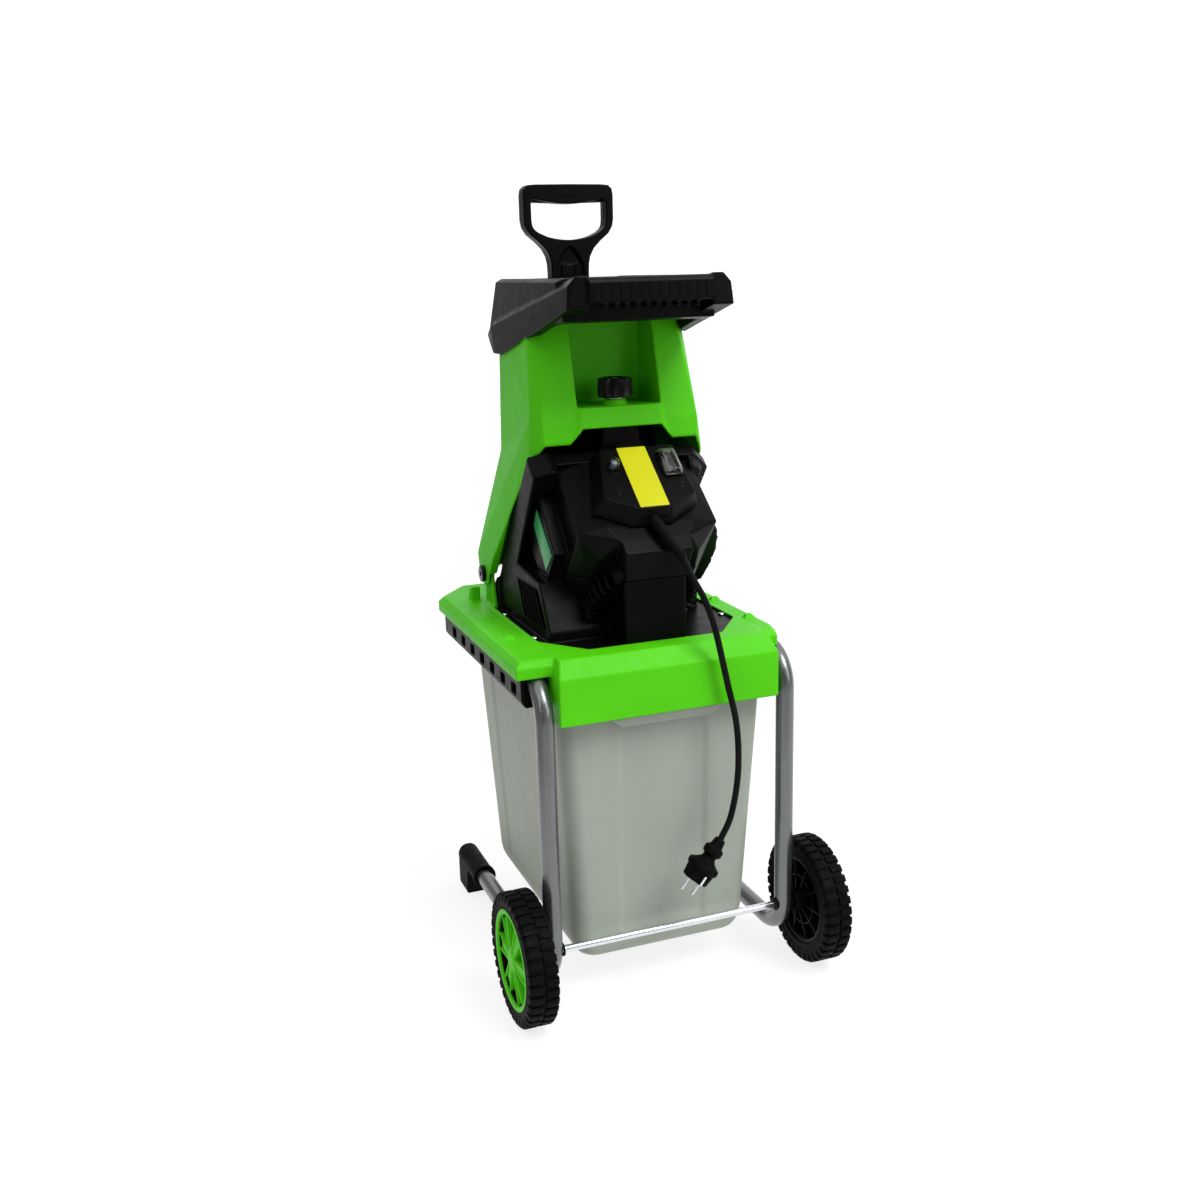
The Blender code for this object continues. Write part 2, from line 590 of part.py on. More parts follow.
# ---------------------------------------------------------------- cutter disc and knives
disc = on_axis([(6.3, 12), (DISC_R, 12), (DISC_R, 6), (6.3, 6)], 32)
for k in (0, 1):
    g = 1 if k == 0 else -1
    disc = cut(disc, hull([M(g * x, s, g * t) for x, t in ((30, 8), (84, 8), (84, 20), (30, 20)) for s in (2, 16)]))
    for px in (44, 70):
        disc = cut(disc, rod(M(g * px, 2, g * -4), M(g * px, 16, g * -4), 3.4, sides=12))
keep(disc, "cutter_disc", "steel")
for k, name in ((0, "a"), (1, "b")):
    g = 1 if k == 0 else -1
    knife = hull([M(g * x, s, g * t) for x in (32, 82) for t, s in ((-16, 5.7), (-16, 1.7), (6, 1.7), (12, 5.7))])
    for px in (44, 70):
        knife = cut(knife, rod(M(g * px, -2, g * -4), M(g * px, 16, g * -4), 3.4, sides=12))
    keep(knife, "knife_" + name, "steel")
    for i, px in enumerate((44, 70)):
        keep(join(rod(M(g * px, -1.6, g * -4), M(g * px, 1.4, g * -4), 6, sides=6),
                  rod(M(g * px, -1.0, g * -4), M(g * px, 14, g * -4), 3.0, sides=12)), f"knife_bolt_{name}{i + 1}", "chrome")
keep(on_axis([(7.3, 5.7), (11, 5.7), (11, -2), (7.3, -2)], 6), "disc_nut", "chrome")

# ---------------------------------------------------------------- hopper shell
G = {
    905: [(97, 183), (113, 203), (113, 328), (90, 374)],
    772: [(113, 147), (122, 172), (119, 330), (92, 376)],
    700: [(110, 140), (130, 165), (124, 336), (94, 380)],
    562: [(110, 200), (150, 250), (150, 368), (98, 393)],
    528: [(110, 250), (150, 300), (150, 360), (98, 374)],
}


def hopper_solid(inset=0.0, top=905, low=528):
    def lev(a, b):
        return [(915, [(96, 186), (113, 206), (113, 328), (90, 374)]) if inset and z == 905 else
                (z - (6 if inset and z == 528 else 0), G[z]) for z in (a, b)]
    h = hull(sections(lev(905, 772), inset))
    h = join(h, hull(sections([(772.3, G[772]), (700, G[700])], inset)))
    h = join(h, hull(sections([(700.3, G[700]), (562, G[562]), (528 - (6 if inset else 0), G[528])], inset)))
    return h


outer = hopper_solid()
inner = hopper_solid(WALL)
inner = cut(inner, block(-62.6, 62.6, 100, 228.6, LEDGE_Z - 3, 960))
# everything behind the parting plane is left to the cutter housing
behind = hull([M(x, s, t) for x in (-220, 220) for s in (-0.6, 260) for t in (-260, 260)])
shell = cut(outer, inner, behind)
shell = cut(shell, block(-59.6, 59.6, 100, 225.6, LEDGE_Z, 960),
            hull([P(sx * x, y, z) for sx in (-1, 1) for y in (100, 200) for x, z in ((57, 764), (73, 745), (73, 700))]))
# rear flanges of the wings, and their hinge lugs
for side in (-1, 1):
    shell = join(shell, hull([M(side * x, s, t) for s in (-0.6, -3.6) for x, t in (
        (136.4, 8), (149.6, -109), (149.6, -139), (136.4, -139))]))
    shell = join(shell, rod(P(side * 146.2, HINGE_Y, HINGE_Z), P(side * 150, HINGE_Y, HINGE_Z), 19, sides=20))
    shell = cut(shell, rod(P(side * 120, HINGE_Y, HINGE_Z), P(side * 160, HINGE_Y, HINGE_Z), 6.35, sides=14))
    # notch in the front wall's lower edge, so that it swings down past the collar's ear
    shell = cut(shell, block(*sorted((side * 137.4, side * 146.1)), 350, 385, 518, 550))
# boss under the knob
shell = join(shell, rod(P(0, KNOB_Y, LEDGE_Z - 4), P(0, KNOB_Y, LEDGE_Z + 8.5), 16, sides=20))
shell = cut(shell, rod(P(0, KNOB_Y, 770), P(0, KNOB_Y, 812), 4.9, sides=16))
keep(shell, "hopper_shell", "green")

for side, name in ((-1, "left"), (1, "right")):
    pin = join(rod(P(side * 136, HINGE_Y, HINGE_Z), P(side * 151.5, HINGE_Y, HINGE_Z), 6, sides=14),
               rod(P(side * 150.4, HINGE_Y, HINGE_Z), P(side * 156.5, HINGE_Y, HINGE_Z), 12.5, sides=20))
    keep(pin, "hinge_pin_" + name, "black")

# ---------------------------------------------------------------- locking knob
knob = rod(P(0, KNOB_Y, 802.6), P(0, KNOB_Y, 829), 24, 23.2, sides=36)
for k in range(9):
    a = math.radians(40 * k)
    c = Vector((math.cos(a) * 25.5 * MM, math.sin(a) * 25.5 * MM, 0))
    knob = cut(knob, rod(P(0, KNOB_Y, 796) + c, P(0, KNOB_Y, 835) + c, 4.2, sides=10))
keep(knob, "lock_knob", "black")
keep(turned([(5.3, 801.8), (13, 801.8), (13, 800.9), (5.3, 800.9)], P(0, KNOB_Y, 0), (0, 0, 1), 24), "knob_washer", "chrome")
keep(rod(P(0, KNOB_Y, 745), P(0, KNOB_Y, 802.2), 4.2, sides=16), "knob_bolt", "steel")

# ---------------------------------------------------------------- funnel
funnel = hull([P(sx * x, y, z) for sx in (-1, 1) for x, y, z in (
    (100, 72, 962), (108, 90, 957), (108, 352, 957), (96, 386, 957), (92, 372, 962), (101, 345, 962),
    (105, 72, 908.5), (113, 380, 884), (96, 398, 886), (110, 330, 876), (96, 392, 874))])
arm = hull([P(sx * x, y, z) for sx in (-1, 1) for x, y, z in (
    (100, 36, 965), (111, 36, 953), (113.5, 33, 925), (112, 342, 905), (121, 342, 897), (121, 334, 858), (119, 300, 857),
    (115, 118, 903), (118, 372, 884), (117, 352, 860))])
front_gap = hull([P(sx * x, y, z) for sx in (-1, 1) for x, y, z in (
    (84, 20, 900), (84, 73, 900), (84, 20, 990), (84, 73, 990))])
arm = cut(arm, front_gap)
bar = hull([P(sx * 86, y, z) for sx in (-1, 1) for y, z in ((30, 932), (30, 958), (34, 962), (46, 962), (50, 957), (50, 936), (46, 932))])
funnel = join(funnel, arm, bar)
# room for the hopper's top inside the arms
top_room = hull([P(sx * x, y, z) for sx in (-1, 1) for x, y, z in (
    (98.5, 180, 905.6), (114.8, 200, 905.6), (114.8, 330, 905.6), (91.5, 376, 905.6),
    (105.5, 164, 850), (117.0, 188, 850), (117.0, 332, 850), (92.5, 377, 850))])
funnel = cut(funnel, top_room)
# under the tray, behind the hopper: open space in front of the green face
funnel = cut(funnel, hull([P(sx * x, y, z) for sx in (-1, 1) for x, y, z in (
    (98, 60, 905.4), (98, 190, 905.4), (104, 60, 840), (104, 190, 840))]))
# the tray: wide at the top, falling to the feed slot
funnel = cut(funnel, hull([P(sx * x, y, z) for sx in (-1, 1) for x, y, z in (
    (96, 80, 970), (101, 100, 970), (101, 346, 970), (92, 374, 970), (76, 320, 910), (76, 367, 910))]),
    block(-76, 76, SLOT_Y0, SLOT_Y1, 860, 915))
# ribs under the grip
for k in range(10):
    x = -63 + 14 * k
    funnel = join(funnel, block(x - 2.2, x + 2.2, 33, 46, 927.5, 934))
keep(funnel, "feed_funnel", "black")

# ---------------------------------------------------------------- feed chute
S_END = -5.0
chute_out = hull([P(sx * 79, y, 904.6) for sx in (-1, 1) for y in (SLOT_Y0 - 3, SLOT_Y1 + 3)] +
                 [M(sx * x, S_END, t) for sx in (-1, 1) for x, t in ((77, 62), (77, -52))])
chute_in = hull([P(sx * 76, y, 912) for sx in (-1, 1) for y in (SLOT_Y0, SLOT_Y1)] +
                [M(sx * x, S_END + 6, t) for sx in (-1, 1) for x, t in ((74, 58), (74, -49))])
chute = cut(chute_out, chute_in)
keep(chute, "feed_chute", "black")

# ---------------------------------------------------------------- plunger
grip_out = [(61, 1090), (68, 1083), (68, 1042), (60, 1022), (45, 1010), (34, 997), (29, 982), (28.5, 960)]
grip_ring = [(x, z) for x, z in grip_out] + [(-x, z) for x, z in reversed(grip_out)]
window = [(55.5, 1069), (56, 1040), (49, 1026), (30, 1017.5)]
window_ring = [(x, z) for x, z in window] + [(0, 1014)] + [(-x, z) for x, z in reversed(window)] + [(0, 1064)]
XZ = Matrix(((1, 0, 0, 0), (0, 0, -1, 0), (0, 1, 0, 0), (0, 0, 0, 1)))
grip = outline(grip_ring, Matrix.Translation(P(0, PLUNGER_Y, 0)) @ XZ, 12)
grip = cut(grip, outline(window_ring, Matrix.Translation(P(0, PLUNGER_Y, 0)) @ XZ, 20))
bm = bmesh.new()
bm.from_mesh(grip.data)
bmesh.ops.dissolve_limit(bm, angle_limit=0.01, verts=bm.verts, edges=bm.edges)
bm.to_mesh(grip.data)
bm.free()
bev = grip.modifiers.new("Bevel", "BEVEL")
bev.width = 4.5 * MM
bev.segments = 2
bev.limit_method = "ANGLE"
bev.angle_limit = math.radians(50)
bpy.context.view_layer.update()
grip = applied(grip)
for sx in (-1, 1):
    grip = join(grip, rod(P(sx * 13.5, PLUNGER_Y, 961), P(sx * 13.5, PLUNGER_Y, 984), 13, sides=20))
grip = cut(grip, block(-24.5, 24.5, PLUNGER_Y - 7.4, PLUNGER_Y + 7.4, 940, 977.5))
keep(grip, "plunger_grip", "black")
paddle = join(hull([P(sx * 24, y, z) for sx in (-1, 1) for y in (PLUNGER_Y - 7, PLUNGER_Y + 7) for z in (886, 977)]),
              hull([P(sx * 60, y, z) for sx in (-1, 1) for y in (PLUNGER_Y - 10, PLUNGER_Y + 10) for z in (880, 890)]))
keep(paddle, "plunger_paddle", "black")

# ---------------------------------------------------------------- collection box
def bin_ring(hw, y0, y1, c):
    return [(hw, y0 + c), (hw - c, y0), (hw - c, y1), (hw, y1 - c)]


BIN = [(46, bin_ring(112, 40, 398, 8)), (60, bin_ring(126, 33, 404, 14)), (74, bin_ring(134, 30, 407, 18)),
       (418, bin_ring(149.3, 14, 414, 18))]


def bin_solid(inset, top):
    f = (top - 74) / (418 - 74)
    last = [(a + (c - a) * f, b + (d - b) * f) for (a, b), (c, d) in zip(BIN[2][1], BIN[3][1])]
    pts = [(z + (3 if inset and z == 46 else 0), r) for z, r in BIN[:3]] + [(top, last)]
    return hull(sections(pts, inset))


box = bin_solid(0, 430)
rim = hull(sections([(427.0, bin_ring(156.5, 31, 421, 5)), (431.5, bin_ring(156.5, 31, 421, 5))]))
box = join(box, rim)
# moulded fluting of the walls: two shallow channels front and back, and grip lips
for y0, y1, sgn in ((14, 44, -1), (414, 384, 1)):
    for x in (-58, 58):
        lowy = 30.0 if sgn < 0 else 407.0
        box = cut(box, hull([P(x + a, y, z) for a in (-10, 10) for y, z in (
            (lowy + sgn * 6, 76), (lowy - sgn * 3, 76), ((14 if sgn < 0 else 414) + sgn * 6, 400), ((14 if sgn < 0 else 414) - sgn * 3, 400))]))
inner = bin_solid(6.0, 440)
box = cut(box, inner)
for sgn, y0 in ((-1, 16.0), (1, 412.0)):
    box = join(box, hull([P(sx * x, y, z) for sx in (-1, 1) for x, y, z in (
        (78, y0, 402), (64, y0, 384), (76, y0 + sgn * 14, 402), (62, y0 + sgn * 14, 389))]))
keep(box, "collection_box", "bin")

# ---------------------------------------------------------------- box lock
lock = block(-15.8, 15.8, 479.6, 484.5, 432.6, 462)
lock = join(lock, block(-15.8, 15.8, 484.0, 493, 434, 440), block(-9, 9, 466, 482, 435, 452),
            block(-12, 12, 423.0, 470, 436.0, 440.0), block(-12, 12, 423.0, 426.5, 433.6, 438))
keep(lock, "box_lock", "black")

# ---------------------------------------------------------------- deck screws
for i, (x, y) in enumerate(((-140.3, 130), (-140.3, 268), (140.3, 130), (140.3, 268))):
    s = join(rod(P(x, y, 487.6), P(x, y, 490.2), 4.2, sides=14), rod(P(x, y, 479), P(x, y, 488), 2.0, sides=10))
    keep(s, f"deck_screw_{i + 1}", "chrome")

# ---------------------------------------------------------------- cord, strain relief and plug
RELIEF = [(0, 50.2, 661.2), (1, 41.7, 653), (5, 31.6, 643.6), (11, 18.9, 630.2), (17, 9, 619), (22.8, 0, 607.8)]
HANG = [(27.6, -6.4, 593), (33, -12, 578.5), (42, -19, 558.5), (49.6, -24.5, 535.5), (56.4, -28, 509), (71.5, -29, 440.7),
        (85, -29, 379.5), (87.6, -28, 311.8), (77.2, -28, 252.4)]
PLUG_TOP, PLUG_DIR = (61.6, -28.0, 220.0), Vector((-0.61, 0.0, -0.79)).normalized()
CORD_R = 4.3


def smooth_route(points, count):
    """Evenly spaced points on a Catmull-Rom curve through the given ones."""
    pts = [Vector(p) for p in points]
    pts = [pts[0] * 2 - pts[1]] + pts + [pts[-1] * 2 - pts[-2]]
    dense = []
    for i in range(1, len(pts) - 2):
        a, b, c, d = pts[i - 1:i + 3]
        for k in range(24):
            t = k / 24
            dense.append(0.5 * ((2 * b) + (c - a) * t + (2 * a - 5 * b + 4 * c - d) * t * t + (3 * b - a - 3 * c + d) * t ** 3))
    dense.append(pts[-2])
    length = [0.0]
    for a, b in zip(dense, dense[1:]):
        length.append(length[-1] + (b - a).length)
    out = []
    j = 0
    for k in range(count):
        want = length[-1] * k / (count - 1)
        while j < len(dense) - 2 and length[j + 1] < want:
            j += 1
        f = (want - length[j]) / (length[j + 1] - length[j])
        out.append(dense[j].lerp(dense[j + 1], f))
    return out


cord_end = Vector(PLUG_TOP) - PLUG_DIR * 1.2
route = smooth_route([RELIEF[-1]] + HANG + [tuple(cord_end)], 25)
keep(pipe([P(*p) for p in route], CORD_R, 12), "power_cord", "rubber")
relief = pipe([P(*p) for p in smooth_route(RELIEF, 9)], 5.9, 12)
root, out_dir = P(*RELIEF[0]), (P(*RELIEF[1]) - P(*RELIEF[0])).normalized()
relief = join(relief, rod(root, root + out_dir * 0.045, 8.4, 6.0, sides=16))
relief = cut(relief, hull([M(x, s, t) for x in (-40, 40) for s, t in ((80, 90), (80, 150), (128.7, 150), (147.2, 90))]))
relief = cut(relief, pipe([P(*(Vector(RELIEF[-1]) - (Vector(HANG[0]) - Vector(RELIEF[-1])) * 0.4))] + [P(*p) for p in route[:3]], CORD_R + 0.35, 12))
keep(relief, "strain_relief", "rubber")
top = P(*PLUG_TOP)
plug = turned([(0, 66), (17.4, 66), (18.4, 64), (18.4, 50), (22, 47), (22, 40), (15, 36), (9.5, 31), (9.5, 25), (13, 22), (13, 15),
               (9, 11), (8.2, 0), (0, 0)], top, tuple(PLUG_DIR), 20)
keep(plug, "plug_body", "rubber")
across = Vector((0.79, 0, -0.61)).normalized()
for i, sgn in enumerate((-1, 1)):
    base = top + PLUG_DIR * 0.0663 + across * (sgn * 9.5 * MM)
    keep(rod(base, base + PLUG_DIR * 0.019, 2.4, sides=12), f"plug_pin_{i + 1}", "chrome")
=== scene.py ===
"""Looks for the garden chipper: moulded shells, treads, grips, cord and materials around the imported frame."""
import math

import bmesh
import bpy
import numpy as np
from mathutils import Matrix, Vector


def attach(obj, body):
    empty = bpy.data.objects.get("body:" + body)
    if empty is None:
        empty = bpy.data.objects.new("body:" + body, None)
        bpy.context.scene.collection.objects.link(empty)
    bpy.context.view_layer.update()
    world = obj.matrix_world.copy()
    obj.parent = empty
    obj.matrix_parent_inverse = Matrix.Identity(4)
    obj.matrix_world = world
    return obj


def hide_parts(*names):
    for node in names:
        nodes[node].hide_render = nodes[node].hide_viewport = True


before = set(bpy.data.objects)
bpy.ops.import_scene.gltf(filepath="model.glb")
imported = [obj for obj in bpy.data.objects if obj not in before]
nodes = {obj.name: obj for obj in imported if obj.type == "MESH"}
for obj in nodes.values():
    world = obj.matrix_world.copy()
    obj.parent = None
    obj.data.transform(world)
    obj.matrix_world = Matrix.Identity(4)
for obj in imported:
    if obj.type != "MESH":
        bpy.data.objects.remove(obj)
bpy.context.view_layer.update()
scene = bpy.context.scene
scene.view_settings.view_transform = "Standard"

MM = 0.001
Y_MID = 201.5
WHEEL_R, WHEEL_IN, WHEEL_OUT = 90.0, 193.0, 235.0
AXLE_R, TUBE_R, TUBE_X = 5.0, 12.5, 173.0
BEND_R, RUN_TOP_Z, RUN_LOW_Z = 50.0, 460.0, 47.0
TOP_Z, SKIRT_Z = 491.0, 406.0
HUB = (0.0, 224.0, 647.0)
CA, SA = math.cos(math.radians(39)), math.sin(math.radians(39))
SPLIT_Z = 575.0
HINGE_Y, HINGE_Z = 335.0, 537.0
KNOB_Y, LEDGE_Z = 169.0, 792.0
SLOT_Y0, SLOT_Y1 = 320.0, 366.0
PLUNGER_Y = 343.0


def P(x, y, z):
    return Vector((x * MM, (y - Y_MID) * MM, z * MM))


def M(x, s, t):
    return P(x + HUB[0], HUB[1] - CA * s - SA * t, HUB[2] - SA * s + CA * t)


# ---------------------------------------------------------------- mesh helpers
def link(o):
    scene.collection.objects.link(o)
    return o


def from_bmesh(bm, recalc=True):
    if recalc:
        bmesh.ops.recalc_face_normals(bm, faces=bm.faces)
    me = bpy.data.meshes.new("shape")
    bm.to_mesh(me)
    bm.free()
    return link(bpy.data.objects.new("shape", me))


def hull(points, bevel=0.0, segments=3):
    bm = bmesh.new()
    for p in points:
        bm.verts.new(p)
    bmesh.ops.convex_hull(bm, input=bm.verts)
    bmesh.ops.delete(bm, geom=[v for v in bm.verts if not v.link_faces], context="VERTS")
    bmesh.ops.dissolve_limit(bm, angle_limit=0.004, verts=bm.verts, edges=bm.edges)
    if bevel:
        bmesh.ops.bevel(bm, geom=list(bm.edges), offset=bevel * MM, segments=segments, affect="EDGES", profile=0.5,
                        clamp_overlap=True)
    return from_bmesh(bm)


def block(x0, x1, y0, y1, z0, z1, bevel=0.0):
    return hull([P(x, y, z) for x in (x0, x1) for y in (y0, y1) for z in (z0, z1)], bevel)


def rod(a, b, r1, r2=None, sides=48, bevel=0.0, segments=3):
    bm = bmesh.new()
    d = b - a
    q = d.to_track_quat("Z", "Y").to_matrix().to_4x4()
    bmesh.ops.create_cone(bm, cap_ends=True, segments=sides, radius1=r1 * MM, radius2=(r1 if r2 is None else r2) * MM,
                          depth=d.length, matrix=Matrix.Translation((a + b) / 2) @ q)
    if bevel:
        caps = [f for f in bm.faces if len(f.verts) == sides]
        bmesh.ops.bevel(bm, geom=list({e for f in caps for e in f.edges}), offset=bevel * MM, segments=segments,
                        affect="EDGES", profile=0.5)
    return from_bmesh(bm)


def turned(profile, origin, axis, steps=64, turn=0.0):
    """Closed profile of (radius, height) turned about the axis; open if it starts and ends on the axis."""
    bm = bmesh.new()
    q = Vector(axis).to_track_quat("Z", "Y").to_matrix().to_4x4()
    m = Matrix.Translation(origin) @ q @ Matrix.Rotation(turn, 4, "Z")
    rings = []
    for r, h in profile:
        if r <= 1e-6:
            v = bm.verts.new(m @ Vector((0, 0, h * MM)))
            rings.append([v] * steps)
        else:
            rings.append([bm.verts.new(m @ Vector((r * MM * math.cos(2 * math.pi * k / steps),
                                                   r * MM * math.sin(2 * math.pi * k / steps), h * MM))) for k in range(steps)])
    n = len(rings)
    closed = profile[0][0] > 1e-6 or profile[-1][0] > 1e-6
    for i in range(n if closed else n - 1):
        a, b = rings[i], rings[(i + 1) % n]
        for k in range(steps):
            j = (k + 1) % steps
            vs = []
            for v in (a[k], a[j], b[j], b[k]):
                if v not in vs:
                    vs.append(v)
            if len(vs) > 2:
                bm.faces.new(vs)
    return from_bmesh(bm)


def rounded(profile, radius=1.5, seg=4):
    """A closed profile with its corners rounded."""
    out = []
    n = len(profile)
    for i in range(n):
        p0, p1, p2 = Vector(profile[i - 1]), Vector(profile[i]), Vector(profile[(i + 1) % n])
        if p1[0] < 1e-6:
            out.append(tuple(p1))
            continue
        a, b = p0 - p1, p2 - p1
        r = min(radius, a.length * 0.45, b.length * 0.45)
        a, b = p1 + a.normalized() * r, p1 + b.normalized() * r
        for k in range(seg + 1):
            t = k / seg
            q = a * (1 - t) ** 2 + p1 * 2 * t * (1 - t) + b * t * t
            out.append((q[0], q[1]))
    return out


def boolean(o, other, operation="DIFFERENCE", drop=True):
    m = o.modifiers.new("Boolean", "BOOLEAN")
    m.solver, m.operation, m.object = "EXACT", operation, other
    bpy.context.view_layer.update()
    o = applied(o)
    if drop:
        bpy.data.objects.remove(other)
    return o


def join(o, *others):
    for x in others:
        o = boolean(o, x, "UNION")
    return o


def cut(o, *others):
    for x in others:
        o = boolean(o, x, "DIFFERENCE")
    return o


def common(o, *others):
    for x in others:
        o = boolean(o, x, "INTERSECT")
    return o


def applied(o, matrix=None):
    dg = bpy.context.evaluated_depsgraph_get()
    me = bpy.data.meshes.new_from_object(o.evaluated_get(dg))
    me.transform(o.matrix_world if matrix is None else matrix)
    bm = bmesh.new()
    bm.from_mesh(me)
    bmesh.ops.remove_doubles(bm, verts=bm.verts, dist=1e-6)
    bm.to_mesh(me)
    bm.free()
    made = link(bpy.data.objects.new("shape", me))
    bpy.data.objects.remove(o)
    return made


def merged(*obs):
    """One object holding all the meshes as they are."""
    bm = bmesh.new()
    for o in obs:
        bm.from_mesh(o.data)
    for o in obs:
        bpy.data.objects.remove(o)
    return from_bmesh(bm, False)


def soften(o, voxel=1.4, smooth=5, keep=0.3):
    """A moulded solid: its edges rounded by remeshing at voxel mm and smoothing, then thinned."""
    v = voxel * 1.0
    m = o.modifiers.new("Remesh", "REMESH")
    m.mode, m.voxel_size, m.adaptivity = "VOXEL", v * MM, 0.0
    m = o.modifiers.new("Smooth", "SMOOTH")
    m.factor, m.iterations = 0.5, smooth
    m = o.modifiers.new("Thin", "DECIMATE")
    m.ratio = keep
    bpy.context.view_layer.update()
    dg = bpy.context.evaluated_depsgraph_get()
    me = bpy.data.meshes.new_from_object(o.evaluated_get(dg))
    made = link(bpy.data.objects.new("shape", me))
    bpy.data.objects.remove(o)
    bm = bmesh.new()
    bm.from_mesh(me)
    bmesh.ops.dissolve_degenerate(bm, dist=1e-6, edges=bm.edges)
    # drop crumbs that the remesh may leave
    seen, parts = set(), []
    for f in bm.verts:
        if f in seen:
            continue
        stack, part = [f], [f]
        seen.add(f)
        while stack:
            a = stack.pop()
            for e in a.link_edges:
                b = e.other_vert(a)
                if b not in seen:
                    seen.add(b)
                    stack.append(b)
                    part.append(b)
        parts.append(part)
    big = max(len(p) for p in parts)
    crumbs = [v for p in parts if len(p) < 60 and len(p) < big for v in p]
    bmesh.ops.delete(bm, geom=crumbs, context="VERTS")
    bm.to_mesh(me)
    bm.free()
    return made


def mirror_x(o):
    c = o.copy()
    c.data = o.data.copy()
    link(c)
    c.data.transform(Matrix.Scale(-1, 4, (1, 0, 0)))
    c.data.flip_normals()
    return c


def pipe(points, r, sides=24, caps=True, radii=None):
    """A round bar along world points."""
    cu = bpy.data.curves.new("path", "CURVE")
    cu.dimensions = "3D"
    cu.bevel_depth = r * MM
    cu.bevel_resolution = max(0, sides // 4 - 1)
    cu.use_fill_caps = caps
    sp = cu.splines.new("POLY")
    sp.points.add(len(points) - 1)
    for i, p in enumerate(points):
        sp.points[i].co = (*p, 1)
        sp.points[i].radius = 1 if radii is None else radii[i] / r
    o = link(bpy.data.objects.new("path", cu))
    bpy.context.view_layer.update()
    o = applied(o)
    bm = bmesh.new()
    bm.from_mesh(o.data)
    bmesh.ops.recalc_face_normals(bm, faces=bm.faces)
    bm.to_mesh(o.data)
    bm.free()
    return o


def outline(loops, matrix, half, bevel=0.0, seg=3):
    """A filled 2D outline (millimetres), half its thickness each way, edges rounded by bevel."""
    cu = bpy.data.curves.new("outline", "CURVE")
    cu.dimensions = "2D"
    cu.fill_mode = "BOTH"
    cu.extrude = (half - bevel) * MM
    cu.bevel_depth = bevel * MM
    cu.bevel_resolution = seg
    cu.offset = -bevel * MM
    loops = loops if isinstance(loops[0][0], (list, tuple)) else [loops]
    for loop in loops:
        sp = cu.splines.new("POLY")
        sp.points.add(len(loop) - 1)
        for i, p in enumerate(loop):
            sp.points[i].co = (p[0] * MM, p[1] * MM, 0, 1)
        sp.use_cyclic_u = True
    o = link(bpy.data.objects.new("outline", cu))
    bpy.context.view_layer.update()
    o = applied(o, matrix)
    bm = bmesh.new()
    bm.from_mesh(o.data)
    bmesh.ops.recalc_face_normals(bm, faces=bm.faces)
    bm.to_mesh(o.data)
    bm.free()
    return o


def smooth_closed(points, per=6):
    """Catmull-Rom through a closed list of 2D points."""
    n = len(points)
    out = []
    for i in range(n):
        a, b, c, d = (Vector(points[(i + k - 1) % n]) for k in range(4))
        for k in range(per):
            t = k / per
            q = 0.5 * ((2 * b) + (c - a) * t + (2 * a - 5 * b + 4 * c - d) * t * t + (3 * b - a - 3 * c + d) * t ** 3)
            out.append((q[0], q[1]))
    return out


def smooth_route(points, count):
    pts = [Vector(p) for p in points]
    pts = [pts[0] * 2 - pts[1]] + pts + [pts[-1] * 2 - pts[-2]]
    dense = []
    for i in range(1, len(pts) - 2):
        a, b, c, d = pts[i - 1:i + 3]
        for k in range(24):
            t = k / 24
            dense.append(0.5 * ((2 * b) + (c - a) * t + (2 * a - 5 * b + 4 * c - d) * t * t + (3 * b - a - 3 * c + d) * t ** 3))
    dense.append(pts[-2])
    length = [0.0]
    for a, b in zip(dense, dense[1:]):
        length.append(length[-1] + (b - a).length)
    out, j = [], 0
    for k in range(count):
        want = length[-1] * k / (count - 1)
        while j < len(dense) - 2 and length[j + 1] < want:
            j += 1
        f = (want - length[j]) / (length[j + 1] - length[j])
        out.append(dense[j].lerp(dense[j + 1], f))
    return out


def ring_points(levels):
    return [P(sx * x, y, z) for z, ring in levels for x, y in ring for sx in (-1, 1)]


def sections(levels, inset=0.0):
    pts = []
    for z, ring in levels:
        cy = sum(y for _, y in ring) / len(ring)
        for x, y in ring:
            sx = max(x - inset, 0)
            sy = y - math.copysign(inset, y - cy)
            pts += [P(sx, sy, z), P(-sx, sy, z)]
    return pts


# ---------------------------------------------------------------- materials
def new_material(name):
    m = bpy.data.materials.new(name)
    m.use_nodes = True
    nt = m.node_tree
    b = nt.nodes["Principled BSDF"]
    return m, nt, b


def noise(nt, scale, detail=4.0, rough=0.55, stretch=None):
    tc = nt.nodes.new("ShaderNodeTexCoord")
    src = tc.outputs["Object"]
    if stretch is not None:
        mp = nt.nodes.new("ShaderNodeMapping")
        mp.inputs["Scale"].default_value = stretch
        nt.links.new(src, mp.inputs["Vector"])
        src = mp.outputs["Vector"]
    n = nt.nodes.new("ShaderNodeTexNoise")
    n.inputs["Scale"].default_value = scale
    n.inputs["Detail"].default_value = detail
    n.inputs["Roughness"].default_value = rough
    nt.links.new(src, n.inputs["Vector"])
    return n.outputs["Fac"]


def ramp(nt, fac, stops):
    r = nt.nodes.new("ShaderNodeValToRGB")
    e = r.color_ramp.elements
    e[0].position, e[0].color = stops[0][0], (*stops[0][1], 1)
    e[1].position, e[1].color = stops[-1][0], (*stops[-1][1], 1)
    for p, c in stops[1:-1]:
        x = e.new(p)
        x.color = (*c, 1)
    nt.links.new(fac, r.inputs["Fac"])
    return r.outputs["Color"]


def span(nt, fac, low, high, f0=0.3, f1=0.7):
    r = nt.nodes.new("ShaderNodeMapRange")
    r.inputs["From Min"].default_value = f0
    r.inputs["From Max"].default_value = f1
    r.inputs["To Min"].default_value = low
    r.inputs["To Max"].default_value = high
    nt.links.new(fac, r.inputs["Value"])
    return r.outputs["Result"]


